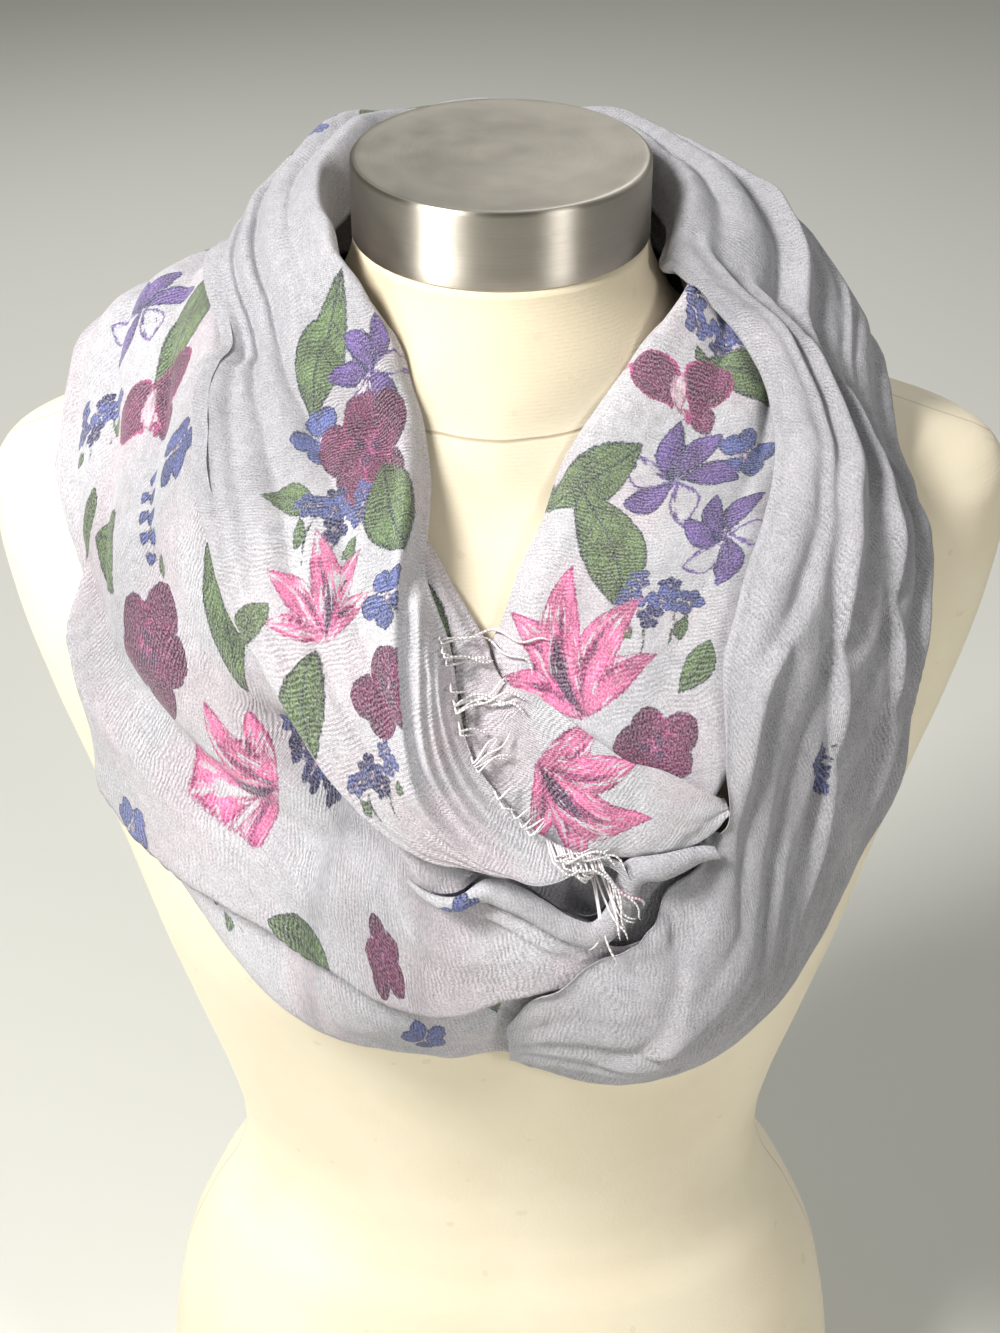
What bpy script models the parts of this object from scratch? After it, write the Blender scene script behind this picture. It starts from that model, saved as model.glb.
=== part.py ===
"""A thin printed scarf wound twice round the neck of a limbless dress form.

Axes: +Z up, the front of the form faces -Y, the viewer's right is +X.
The origin is the centre of the form's flat underside. Tables are in millimetres and degrees.
Azimuth is 0 at the front, 90 at the viewer's right, 180 at the back.
"""

import math

import bmesh
import bpy
import numpy as np
from mathutils import Vector
from mathutils.bvhtree import BVHTree

MM = 0.001

# The dress form: height, half width, depth to the front, depth to the back, squareness
FORM_RINGS = [
    (0, 165, 104, 116, 2.2),
    (50, 168, 106, 120, 2.2),
    (110, 160, 100, 112, 2.2),
    (160, 141, 92, 96, 2.2),
    (184, 128, 86, 87, 2.15),
    (206, 123, 84, 84, 2.15),
    (228, 124, 85, 85, 2.1),
    (250, 128, 88, 88, 2.1),
    (300, 142, 98, 96, 2.1),
    (350, 156, 108, 104, 2.1),
    (400, 168, 114, 110, 2.15),
    (440, 180, 110, 114, 2.2),
    (480, 192, 103, 116, 2.3),
    (520, 202, 93, 114, 2.35),
    (548, 206, 84, 110, 2.3),
    (565, 206, 77, 104, 2.2),
    (578, 200, 71, 96, 1.9),
    (590, 172, 68, 88, 1.6),
    (602, 140, 67, 82, 1.5),
    (614, 108, 66, 77, 1.5),
    (626, 84, 65, 72, 1.7),
    (640, 68, 62.5, 66, 2.0),
    (669, 57.2, 57.2, 57.2, 2.0),
    (700, 57.5, 57.5, 57.5, 2.0),
]
BUST_SIDE = 72
BUST_HEIGHT = 398
BUST_HALF_WIDTH = 48
BUST_HALF_HEIGHT = 52
BUST_DEPTH = 22
NECK_TOP = 669
FORM_SIDES = 48
FORM_LEVELS = [0, 50, 95, 135, 170, 206, 240, 280, 325, 365, 398, 430, 465, 500, 530, 555,
               570, 579, 586, 593, 600, 608, 616, 624, 632, 643, 656, 668.6]

# The metal cap of the neck
CAP_RADIUS = 57.5
CAP_BOTTOM = 669
CAP_TOP = 700
CAP_RIM = 2.2
CAP_STEPS = 48

# The ring inside the form that drape heights are measured from: azimuth, radius, height
CORE_RING = [(0, 40, 520), (45, 58, 530), (90, 80, 552), (135, 58, 560), (180, 40, 568)]

CLOTH_WALL = 1.6
CLOTH_GAP = 2.0
MAP_STEP = 2.0

# Each stretch is a row of sections, from one end to the other.
# Columns: azimuth, radius and height of the top edge, then of the low edge,
# then how far the cloth stands off the form just inside the low edge, and the bulge between the edges.
BACK_UNDER = [
    (93.4, 70, 667, 96.4, 104, 646, 12, 3),
    (120, 68, 668, 120, 108, 638, 14, 3),
    (150, 70, 666, 150, 112, 630, 16, 3),
    (180, 72, 664, 180, 118, 624, 18, 3),
    (210, 74, 664, 210, 124, 620, 20, 3),
    (240, 84, 662, 240, 140, 616, 26, 4),
    (258.6, 92, 658, 258.6, 156, 608, 32, 6),
]
RIGHT_INNER = [
    (93, 70, 667, 96, 104, 646, 12, 3),
    (76, 72, 664, 82, 108, 645, 14, 3),
    (60, 70, 659, 76, 122, 630, 16, 3),
    (47, 71, 648, 71, 132, 616, 17, 3),
    (34, 71, 635, 66, 138, 602, 17, 3),
    (20, 75, 610, 61, 141, 590, 17, 3),
    (11, 82, 585, 55, 142, 564, 18, 3),
    (5, 88, 566, 51, 144, 546, 20, 3),
    (1, 93, 548, 48, 146, 528, 22, 3),
    (-2, 98, 536, 45, 148, 510, 24, 4),
    (-3, 107, 522, 42, 148, 494, 26, 4),
    (0, 115, 503, 39, 147, 482, 27, 4),
    (4, 119, 484, 35, 144, 472, 28, 4),
    (9, 122, 470, 29, 138, 464, 28, 3),
]
LEFT_OUTER = [
    (26, 129, 440, 24, 118, 350, 14, 2),
    (17, 126, 428, 12, 114, 346, 12, 3),
    (7, 123, 434, 2, 112, 350, 12, 4),
    (-5, 122, 447, -9, 114, 350, 13, 5),
    (-18, 127, 472, -19, 128, 356, 14, 5),
    (-27, 131, 498, -29, 143, 372, 14, 5),
    (-34, 134, 530, -41, 150, 382, 14, 5),
    (-41, 134, 556, -51, 154, 396, 13, 5),
    (-47, 131, 584, -58, 160, 418, 12, 5),
    (-54, 124, 609, -62, 167, 452, 11, 5),
    (-59, 118, 627, -64, 174, 492, 10, 6),
    (-64, 112, 640, -66, 177, 528, 9, 6),
    (-70, 106, 648, -70, 174, 556, 10, 8),
    (-80, 99, 654, -80, 168, 584, 16, 9),
    (-92, 94, 658, -92, 160, 604, 28, 9),
    (-101, 92, 658, -101, 156, 608, 32, 6),
]
RIGHT_OUTER = [
    (100, 64, 690, 102, 142, 622, 20, 10),
    (86, 64, 689, 92, 148, 608, 16, 8),
    (72, 66, 684, 82, 156, 596, 13, 5),
    (70, 80, 671, 75, 168, 580, 9, 4),
    (70, 96, 659, 71, 176, 560, 8, 4),
    (66, 113, 645, 69, 180, 534, 8, 4),
    (61, 128, 628, 67, 179, 508, 9, 4),
    (56, 135, 609, 66, 176, 480, 10, 4),
    (50, 140, 589, 66, 172, 452, 12, 4),
    (44, 144, 568, 64, 168, 424, 13, 4),
    (39, 147, 537, 61, 160, 398, 14, 4),
    (37, 149, 494, 56, 150, 372, 14, 4),
    (35, 146, 446, 48, 136, 342, 14, 4),
    (26, 140, 436, 38, 126, 326, 14, 4),
    (19, 138, 420, 28, 121, 320, 14, 4),
    (13, 134, 409, 18, 117, 328, 14, 4),
    (6, 131, 397, 9, 115, 340, 14, 3),
    (1, 127, 380, 2, 114, 352, 14, 2),
]
BACK_UPPER = [
    (-58.4, 68, 688, -67.4, 124, 660, 26, 2),
    (-72, 64, 692, -74, 116, 656, 30, 2),
    (-90, 63, 694, -90, 114, 652, 34, 4),
    (-112, 64, 694, -112, 118, 648, 32, 10),
    (-140, 65, 692, -140, 122, 642, 28, 22),
    (-180, 66, 690, -180, 124, 636, 26, 28),
    (-210, 65, 690, -210, 124, 636, 24, 26),
    (-238, 63, 690, -238, 130, 630, 22, 18),
    (-259.6, 62, 690, -257.6, 142, 622, 20, 10),
]
LEFT_INNER = [
    (-58, 68, 688, -67, 124, 660, 26, 2),
    (-48, 68, 683, -66, 130, 652, 32, 3),
    (-40, 70, 672, -64, 136, 640, 34, 3),
    (-32, 71, 655, -60, 141, 626, 36, 3),
    (-27, 73, 638, -56, 145, 608, 37, 3),
    (-22, 81, 612, -51, 148, 587, 38, 3),
    (-20, 91, 595, -46, 150, 567, 38, 3),
    (-16, 102, 578, -40, 151, 546, 38, 3),
    (-12, 111, 558, -34, 150, 521, 38, 3),
    (-8, 116, 539, -27, 147, 495, 38, 3),
    (-3, 121, 521, -19, 143, 473, 38, 3),
    (2, 125, 500, -9, 138, 459, 34, 3),
    (8, 128, 483, 3, 133, 454, 32, 3),
    (14, 131, 471, 14, 133, 454, 30, 2),
    (20, 134, 465, 22, 136, 457, 29, 1),
]
CENTRE_ROLL = [
    (34, 148, 461, 34, 150, 449, 29, 2),
    (31, 144, 463, 31, 146, 451, 29, 2),
    (27, 139, 465, 27, 141, 452, 29, 2),
    (22, 137, 462, 26, 140, 446, 29, 2),
    (19, 137, 449, 23, 141, 438, 29, 2),
    (18, 137, 438, 20, 141, 430, 29, 2),
    (15, 137, 432, 17, 140, 422, 29, 2),
    (10, 131, 436, 11, 134, 421, 29, 2),
    (3, 127, 450, 3, 130, 431, 29, 2),
    (-4, 126, 458, -6, 129, 440, 28, 2),
]

# Folds that run along a stretch: where each valley lies across it at its start, middle and end,
# as shares of the width, and how deep the valleys on either side of the fold after it are.
FOLDS = {
    "back_under": [(0, 0, 0, 4), (0.4, 0.4, 0.3, 5), (0.7, 0.72, 0.6, 6)],
    "right_inner": [(0, 0, 0, 2), (0.5, 0.34, 0.2, 2.5), (0.8, 0.72, 0.6, 3)],
    "left_outer": [(0, 0, 0, 5), (0.3, 0.34, 0.3, 7), (0.6, 0.64, 0.6, 7), (0.84, 0.86, 0.84, 4)],
    "right_outer": [(0, 0, 0, 6), (0.16, 0.14, 0.3, 5), (0.36, 0.34, 0.5, 8), (0.52, 0.5, 0.66, 8),
                    (0.68, 0.66, 0.8, 6), (0.84, 0.82, 0.9, 4)],
    "back_upper": [(0, 0, 0, 4), (0.28, 0.22, 0.18, 6), (0.5, 0.46, 0.4, 6), (0.74, 0.7, 0.62, 5)],
    "left_inner": [(0, 0, 0, 3), (0.28, 0.14, 0.18, 3), (0.5, 0.32, 0.4, 4), (0.74, 0.66, 0.68, 5)],
    "centre_roll": [(0, 0, 0, 1)],
}

# The fringe along the frayed top edge of the left inner stretch, as shares of that stretch's length
FRINGE_START = 0.58
FRINGE_STOP = 0.97
FRINGE_STRANDS = 22
STRAND_LENGTH = 20
STRAND_WIDTH = 1.3
BACKING_WIDTH = 2.2
SEAM_GAP = 0.5
SETTLED_GAP = 0.6

COLOURS = {
    "form_body": (0.84, 0.78, 0.68),
    "neck_cap": (0.62, 0.61, 0.58),
    "scarf": (0.60, 0.58, 0.63),
    "fringe": (0.80, 0.78, 0.80),
}


def smooth(knots, values, at):
    """A curve through the values at the knots that doesn't swing past them."""
    knots = np.asarray(knots, float)
    values = np.asarray(values, float)
    steps = np.diff(knots)
    slopes = np.diff(values) / steps
    tangents = np.zeros_like(values)
    product = slopes[:-1] * slopes[1:]
    total = slopes[:-1] + slopes[1:]
    safe = np.where(product > 0, total, 1.0)
    tangents[1:-1] = np.where(product > 0, 2 * product / safe, 0.0)
    tangents[0] = slopes[0]
    tangents[-1] = slopes[-1]
    at = np.clip(np.asarray(at, float), knots[0], knots[-1])
    cell = np.clip(np.searchsorted(knots, at, side="right") - 1, 0, len(steps) - 1)
    t = (at - knots[cell]) / steps[cell]
    rise = values[cell + 1] - values[cell]
    lead = tangents[cell] * steps[cell]
    tail = tangents[cell + 1] * steps[cell]
    return values[cell] + t * lead + t * t * (3 * rise - 2 * lead - tail) + t**3 * (lead + tail - 2 * rise)


def form_ring(height):
    """Half width, front depth, back depth and squareness of the form at these heights."""
    table = np.array(FORM_RINGS, float)
    return [smooth(table[:, 0], table[:, column], height) for column in range(1, 5)]


def bust(x, z):
    """How far the bust stands out in front of the plain ring."""
    across = (np.abs(x) - BUST_SIDE) / BUST_HALF_WIDTH
    along = (z - BUST_HEIGHT) / BUST_HALF_HEIGHT
    return BUST_DEPTH * np.exp(-(across**2) - along**2)


def inside_form(x, y, z):
    """True where a point lies in the form or its neck."""
    half, front, back, square = form_ring(z)
    depth = np.where(y < 0, front + bust(x, z), back)
    level = (np.abs(x) / half) ** square + (np.abs(y) / depth) ** square
    return (level < 1) & (z < CAP_TOP)


def core(azimuth):
    """Radius and height of the core ring at an azimuth."""
    before = [(-row[0], row[1], row[2]) for row in CORE_RING[1:2]]
    after = [(360 - row[0], row[1], row[2]) for row in CORE_RING[-2:-1]]
    table = np.array(before + CORE_RING + after, float)
    folded = np.abs((np.asarray(azimuth, float) + 180) % 360 - 180)
    return smooth(table[:, 0], table[:, 1], folded), smooth(table[:, 0], table[:, 2], folded)


def to_core(azimuth, radius, height):
    """Tilt about the core ring and distance from it."""
    ring_radius, ring_height = core(azimuth)
    across = np.asarray(radius, float) - ring_radius
    up = np.asarray(height, float) - ring_height
    return np.degrees(np.arctan2(up, across)), np.hypot(across, up)


def from_core(azimuth, tilt, reach):
    """Points in space from azimuth, tilt about the core ring and distance from it."""
    ring_radius, ring_height = core(azimuth)
    radius = ring_radius + reach * np.cos(np.radians(tilt))
    height = ring_height + reach * np.sin(np.radians(tilt))
    turn = np.radians(azimuth)
    return np.stack([radius * np.sin(turn), -radius * np.cos(turn), height], axis=-1)


MAP_AZIMUTHS = np.arange(-180, 180, MAP_STEP)
MAP_TILTS = np.arange(-90, 121, MAP_STEP)


def form_map():
    """Distance from the core ring to the form's surface, by azimuth and tilt."""
    azimuths, tilts = np.meshgrid(MAP_AZIMUTHS, MAP_TILTS, indexing="ij")
    low = np.zeros(azimuths.shape)
    high = np.full(azimuths.shape, 260.0)
    for _ in range(26):
        middle = (low + high) / 2
        points = from_core(azimuths, tilts, middle)
        within = inside_form(points[..., 0], points[..., 1], points[..., 2])
        low = np.where(within, middle, low)
        high = np.where(within, high, middle)
    return high


def read_map(table, azimuth, tilt):
    """The map's value between its points."""
    across = ((np.asarray(azimuth, float) + 180) % 360) / MAP_STEP
    up = np.clip((np.asarray(tilt, float) - MAP_TILTS[0]) / MAP_STEP, 0, len(MAP_TILTS) - 1.001)
    column = np.floor(across).astype(int)
    row = np.floor(up).astype(int)
    s = across - column
    t = up - row
    column = column % len(MAP_AZIMUTHS)
    beyond = (column + 1) % len(MAP_AZIMUTHS)
    low = table[column, row] * (1 - s) + table[beyond, row] * s
    high = table[column, row + 1] * (1 - s) + table[beyond, row + 1] * s
    return low * (1 - t) + high * t


def widened(table):
    """The map with each value raised to the highest of its neighbours."""
    best = table.copy()
    for turn in (-1, 0, 1):
        for rise in (-1, 0, 1):
            moved = np.roll(table, turn, axis=0)
            if rise:
                moved = np.roll(moved, rise, axis=1)
                moved[:, 0 if rise > 0 else -1] = table[:, 0 if rise > 0 else -1]
            best = np.maximum(best, moved)
    return best


def raise_map(table, azimuth, tilt, reach):
    """The map after a sheet has been laid on it."""
    fine = 8
    rows, columns = azimuth.shape
    s = np.linspace(0, rows - 1, rows * fine)
    t = np.linspace(0, columns - 1, columns * fine)

    def refined(grid):
        along = np.array([np.interp(s, np.arange(rows), grid[:, k]) for k in range(columns)]).T
        return np.array([np.interp(t, np.arange(columns), line) for line in along])

    azimuth, tilt, reach = refined(azimuth), refined(tilt), refined(reach)
    column = np.round(((azimuth + 180) % 360) / MAP_STEP).astype(int) % len(MAP_AZIMUTHS)
    row = np.clip(np.round((tilt - MAP_TILTS[0]) / MAP_STEP).astype(int), 0, len(MAP_TILTS) - 1)
    result = table.copy()
    np.maximum.at(result, (column, row), reach)
    return result


def folds_across(name, along, per_fold):
    """Shares s along and v across the points of a stretch, and how far each point dips between the folds."""
    lines = FOLDS[name]
    s = np.linspace(0, 1, along)
    places = [smooth([0, 0.5, 1], line[:3], s) for line in lines]
    places.append(np.ones_like(s))
    shares = []
    dips = []
    for index, line in enumerate(lines):
        for step in range(per_fold):
            t = step / per_fold
            shares.append(places[index] * (1 - t) + places[index + 1] * t)
            dips.append(line[3] * (1 - math.sin(math.pi * t) ** 0.8))
    shares.append(places[-1])
    dips.append(lines[-1][3])
    v = np.array(shares).T
    return np.repeat(s[:, None], v.shape[1], axis=1), v, np.array(dips)[None, :]


def stretch_grid(name, rows, along, per_fold, under, tuck_top, tuck_low):
    """Azimuth, tilt and the outer and inner reach of a stretch of cloth laid over what's under it."""
    table = np.array(rows, float)
    tilt_top, reach_top = to_core(table[:, 0], table[:, 1], table[:, 2])
    tilt_low, _ = to_core(table[:, 3], table[:, 4], table[:, 5])
    middle = from_core((table[:, 0] + table[:, 3]) / 2, (tilt_top + tilt_low) / 2, reach_top)
    steps = np.linalg.norm(np.diff(middle, axis=0), axis=1)
    knots = np.concatenate([[0], np.cumsum(steps)]) / steps.sum()
    loft_top = reach_top - read_map(FORM_MAP, table[:, 0], tilt_top)
    s, v, dips = folds_across(name, along, per_fold)

    def along_rows(column):
        return smooth(knots, column, s)

    azimuth = along_rows(table[:, 0]) * (1 - v) + along_rows(table[:, 3]) * v
    tilt = along_rows(tilt_top) * (1 - v) + along_rows(tilt_low) * v
    loft = along_rows(loft_top) * (1 - v) + along_rows(table[:, 6]) * v
    loft = loft + along_rows(table[:, 7]) * 4 * v * (1 - v) - dips
    floor = read_map(under, azimuth, tilt) + CLOTH_GAP + CLOTH_WALL
    wanted = read_map(FORM_MAP, azimuth, tilt) + loft
    top_side = np.clip(v / 0.14, 0, 1)
    low_side = np.clip((1 - v) / 0.14, 0, 1)
    keep = (tuck_top + (1 - tuck_top) * np.sqrt(1 - (1 - top_side) ** 2))
    keep = keep * (tuck_low + (1 - tuck_low) * np.sqrt(1 - (1 - low_side) ** 2))
    outer = floor + np.maximum(wanted - floor, 0) * keep
    return azimuth, tilt, outer, outer - CLOTH_WALL


def settled(grid, others):
    """The sheet lowered towards the form until it is a seam's width from the nearest of the objects."""
    azimuth, tilt, outer, inner = grid
    corners = from_core(azimuth, tilt, inner)
    below = from_core(azimuth, tilt, inner - 1)
    trees = [BVHTree.FromPolygons([v.co / MM for v in other.data.vertices],
                                  [p.vertices for p in other.data.polygons]) for other in others]
    nearest = 20.0
    shares = (0, 0.25, 0.5, 0.75)
    for i in range(azimuth.shape[0] - 1):
        for j in range(azimuth.shape[1] - 1):
            for a in shares:
                for b in shares:
                    weights = [(1 - a) * (1 - b), a * (1 - b), (1 - a) * b, a * b]
                    cells = [(i, j), (i + 1, j), (i, j + 1), (i + 1, j + 1)]
                    start = Vector(sum(w * corners[cell] for w, cell in zip(weights, cells)))
                    towards = Vector(sum(w * below[cell] for w, cell in zip(weights, cells))) - start
                    for tree in trees:
                        hit = tree.ray_cast(start, towards, nearest)
                        if hit[3] is not None:
                            nearest = min(nearest, hit[3])
    drop = max(nearest - SETTLED_GAP, 0)
    return azimuth, tilt, outer - drop, inner - drop


def new_object(name, bm, colour, finish):
    """A named object with its own material, from a closed mesh in metres."""
    bmesh.ops.recalc_face_normals(bm, faces=bm.faces)
    mesh = bpy.data.meshes.new(name)
    bm.to_mesh(mesh)
    bm.free()
    material = bpy.data.materials.new(name)
    material.use_nodes = True
    shader = material.node_tree.nodes["Principled BSDF"]
    shader.inputs["Base Color"].default_value = (*colour, 1)
    shader.inputs["Roughness"].default_value = finish["roughness"]
    shader.inputs["Metallic"].default_value = finish["metallic"]
    mesh.materials.append(material)
    result = bpy.data.objects.new(name, mesh)
    bpy.data.collections["scarf_on_dress_form"].objects.link(result)
    return result


def add_sheet(name, grid):
    """A closed sheet with an outer face, an inner face and its four narrow sides."""
    azimuth, tilt, outer, inner = grid
    faces = [from_core(azimuth, tilt, outer) * MM, from_core(azimuth, tilt, inner) * MM]
    rows, columns = azimuth.shape
    bm = bmesh.new()
    layers = [[[bm.verts.new(face[i, j]) for j in range(columns)] for i in range(rows)] for face in faces]
    for layer in layers:
        for i in range(rows - 1):
            for j in range(columns - 1):
                bm.faces.new([layer[i][j], layer[i + 1][j], layer[i + 1][j + 1], layer[i][j + 1]])
    border = [(i, 0) for i in range(rows - 1)] + [(rows - 1, j) for j in range(columns - 1)]
    border += [(i, columns - 1) for i in range(rows - 1, 0, -1)] + [(0, j) for j in range(columns - 1, 0, -1)]
    for here, there in zip(border, border[1:] + border[:1]):
        corners = [layers[0][here[0]][here[1]], layers[0][there[0]][there[1]]]
        corners += [layers[1][there[0]][there[1]], layers[1][here[0]][here[1]]]
        bm.faces.new(corners)
    bmesh.ops.triangulate(bm, faces=bm.faces)
    return new_object(name, bm, COLOURS["scarf"], {"roughness": 0.9, "metallic": 0.0})


def add_form():
    """The torso and neck, closed flat at the hips and at the top of the neck."""
    bm = bmesh.new()
    turns = np.linspace(0, 2 * math.pi, FORM_SIDES, endpoint=False)
    loops = []
    for level in FORM_LEVELS:
        half, front, back, square = [float(value) for value in form_ring(level)]
        loop = []
        for turn in turns:
            side = math.sin(turn)
            ahead = math.cos(turn)
            x = half * math.copysign(abs(side) ** (2 / square), side)
            depth = front if ahead > 0 else back
            y = -depth * math.copysign(abs(ahead) ** (2 / square), ahead)
            if ahead > 0:
                y *= 1 + float(bust(x, level)) / depth
            loop.append(bm.verts.new((x * MM, y * MM, level * MM)))
        loops.append(loop)
    for low, high in zip(loops, loops[1:]):
        for k in range(FORM_SIDES):
            after = (k + 1) % FORM_SIDES
            bm.faces.new([low[k], low[after], high[after], high[k]])
    bm.faces.new(loops[0])
    bm.faces.new(loops[-1])
    return new_object("form_body", bm, COLOURS["form_body"], {"roughness": 0.8, "metallic": 0.0})


def add_cap():
    """The turned metal cap, from its profile."""
    profile = [(0, CAP_BOTTOM), (CAP_RADIUS, CAP_BOTTOM)]
    for k in range(5):
        angle = math.radians(90 * k / 4)
        profile.append((CAP_RADIUS - CAP_RIM * (1 - math.cos(angle)), CAP_TOP - CAP_RIM * (1 - math.sin(angle))))
    profile.append((0, CAP_TOP))
    bm = bmesh.new()
    points = [bm.verts.new((radius * MM, 0, height * MM)) for radius, height in profile]
    for start, end in zip(points, points[1:]):
        bm.edges.new([start, end])
    result = new_object("neck_cap", bm, COLOURS["neck_cap"], {"roughness": 0.3, "metallic": 1.0})
    turned = result.modifiers.new("turned", "SCREW")
    turned.steps = CAP_STEPS
    turned.render_steps = CAP_STEPS
    turned.use_merge_vertices = True
    turned.merge_threshold = 0.0001
    turned.use_normal_calculate = True
    return result


def edge_points(grid, shares):
    """Points of a stretch's top edge at these shares of its length: outer face, inner face and the way out."""
    azimuth, tilt, outer, inner = grid
    place = np.asarray(shares) * (azimuth.shape[0] - 1)
    first = np.clip(np.floor(place).astype(int), 0, azimuth.shape[0] - 2)
    part = (place - first)[:, None]
    above = from_core(azimuth, tilt, outer)
    below = from_core(azimuth, tilt, inner)
    high = above[first, 0] * (1 - part) + above[first + 1, 0] * part
    low = below[first, 0] * (1 - part) + below[first + 1, 0] * part
    ahead = above[first + 1, 0] - above[first, 0]
    ahead /= np.linalg.norm(ahead, axis=1)[:, None]
    within = above[first, 3] * (1 - part) + above[first + 1, 3] * part
    out = np.cross(ahead, high - low)
    out /= np.linalg.norm(out, axis=1)[:, None]
    side = np.sign(np.sum(out * (high - within), axis=1))
    return high, low, out * side[:, None], ahead


def add_fringe(name, grid, under):
    """Loose threads on one narrow backing that runs beside the cloth's frayed edge."""
    cells = FRINGE_STRANDS * 2 + 1
    high, low, out, ahead = edge_points(grid, np.linspace(FRINGE_START, FRINGE_STOP, cells + 1))
    corners = [low + out * SEAM_GAP, low + out * (SEAM_GAP + BACKING_WIDTH)]
    corners += [high + out * (SEAM_GAP + BACKING_WIDTH), high + out * SEAM_GAP]
    bm = bmesh.new()
    rings = [[bm.verts.new(corner[k] * MM) for corner in corners] for k in range(cells + 1)]
    for k in range(cells):
        for c in range(4):
            after = (c + 1) % 4
            if c == 1 and k % 2 == 1:
                continue
            bm.faces.new([rings[k][c], rings[k + 1][c], rings[k + 1][after], rings[k][after]])
    bm.faces.new(rings[0])
    bm.faces.new(rings[-1])
    for k in range(1, cells, 2):
        middle = (corners[1][k] + corners[2][k + 1]) / 2
        length = STRAND_LENGTH * (0.65 + 0.35 * math.sin(2.3 * k))
        sway = 0.55 * math.sin(1.7 * k + 0.6)
        ring = [rings[k][1], rings[k + 1][1], rings[k + 1][2], rings[k][2]]
        for step in (0.34, 0.67, 1.0):
            place = middle + (out[k] + ahead[k] * sway * step) * length * step
            azimuth = math.degrees(math.atan2(place[0], -place[1]))
            tilt, _ = to_core(azimuth, math.hypot(place[0], place[1]), place[2])
            reach = float(read_map(under, azimuth, tilt)) + CLOTH_GAP
            seat = from_core(azimuth, tilt, reach)
            rise = from_core(azimuth, tilt, reach + STRAND_WIDTH) - seat
            half = ahead[k] * STRAND_WIDTH / 2 * (1.15 - 0.5 * step)
            points = [seat - half, seat + half, seat + half + rise, seat - half + rise]
            following = [bm.verts.new(point * MM) for point in points]
            for c in range(4):
                after = (c + 1) % 4
                bm.faces.new([ring[c], ring[after], following[after], following[c]])
            ring = following
        bm.faces.new(ring)
    bmesh.ops.triangulate(bm, faces=bm.faces)
    return new_object(name, bm, COLOURS["fringe"], {"roughness": 0.9, "metallic": 0.0})


def clear_scene():
    for item in list(bpy.data.objects):
        bpy.data.objects.remove(item, do_unlink=True)
    home = bpy.data.collections.new("scarf_on_dress_form")
    bpy.context.scene.collection.children.link(home)


# name, rows, sections along, points for each fold, share of height kept at the top edge and at the low edge,
# and the stretches that it lies on
STRETCHES = [
    ("back_under", BACK_UNDER, 15, 3, 0.5, 0.2, ()),
    ("right_inner", RIGHT_INNER, 22, 4, 0.6, 0.6, ()),
    ("left_outer", LEFT_OUTER, 30, 4, 0.5, 0.05, ()),
    ("right_outer", RIGHT_OUTER, 32, 3, 0.5, 0.05, ("right_inner", "left_outer")),
    ("centre_roll", CENTRE_ROLL, 20, 5, 0.3, 0.3, ("right_inner", "left_outer", "right_outer")),
    ("back_upper", BACK_UPPER, 20, 3, 0.5, 0.05, ("back_under", "left_outer", "right_inner")),
    ("left_inner", LEFT_INNER, 26, 3, 0.5, 0.3, ("left_outer", "right_inner", "right_outer", "centre_roll")),
]


SETTLED = ("centre_roll",)

clear_scene()
FORM_MAP = form_map()
add_form()
add_cap()
laid = {}
for stretch, rows, along, across, tuck_top, tuck_low, below in STRETCHES:
    ground = FORM_MAP
    for other in below:
        ground = np.maximum(ground, laid[other])
    grid = stretch_grid(stretch, rows, along, across, ground, tuck_top, tuck_low)
    if stretch in SETTLED:
        grid = settled(grid, [bpy.data.objects["scarf_" + other] for other in below])
    add_sheet("scarf_" + stretch, grid)
    laid[stretch] = widened(raise_map(np.zeros(FORM_MAP.shape), grid[0], grid[1], grid[2]))
add_fringe("fringe_end", grid, np.maximum(FORM_MAP, laid["right_inner"]))
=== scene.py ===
"""A thin printed scarf wound twice round the neck of a limbless dress form.

Axes: +Z up, the front of the form faces -Y, the viewer's right is +X.
Tables are in millimetres and degrees. Azimuth is 0 at the front, 90 at the viewer's right, 180 at the back.
"""

import math

import bpy
import numpy as np
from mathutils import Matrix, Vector


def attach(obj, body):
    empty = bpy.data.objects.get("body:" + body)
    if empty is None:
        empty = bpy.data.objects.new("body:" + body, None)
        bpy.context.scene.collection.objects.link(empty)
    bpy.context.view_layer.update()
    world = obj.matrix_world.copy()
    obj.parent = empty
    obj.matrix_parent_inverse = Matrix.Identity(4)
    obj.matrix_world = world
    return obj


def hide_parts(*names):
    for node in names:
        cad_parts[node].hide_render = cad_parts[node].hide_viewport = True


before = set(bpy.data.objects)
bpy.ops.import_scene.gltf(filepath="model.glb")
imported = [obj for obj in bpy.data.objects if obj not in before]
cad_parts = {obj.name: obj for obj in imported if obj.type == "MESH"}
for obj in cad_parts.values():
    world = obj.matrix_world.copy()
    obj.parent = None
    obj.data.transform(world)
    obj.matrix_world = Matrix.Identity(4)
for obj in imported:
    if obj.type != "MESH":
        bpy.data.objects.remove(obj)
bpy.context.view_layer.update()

MM = 0.001

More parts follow.
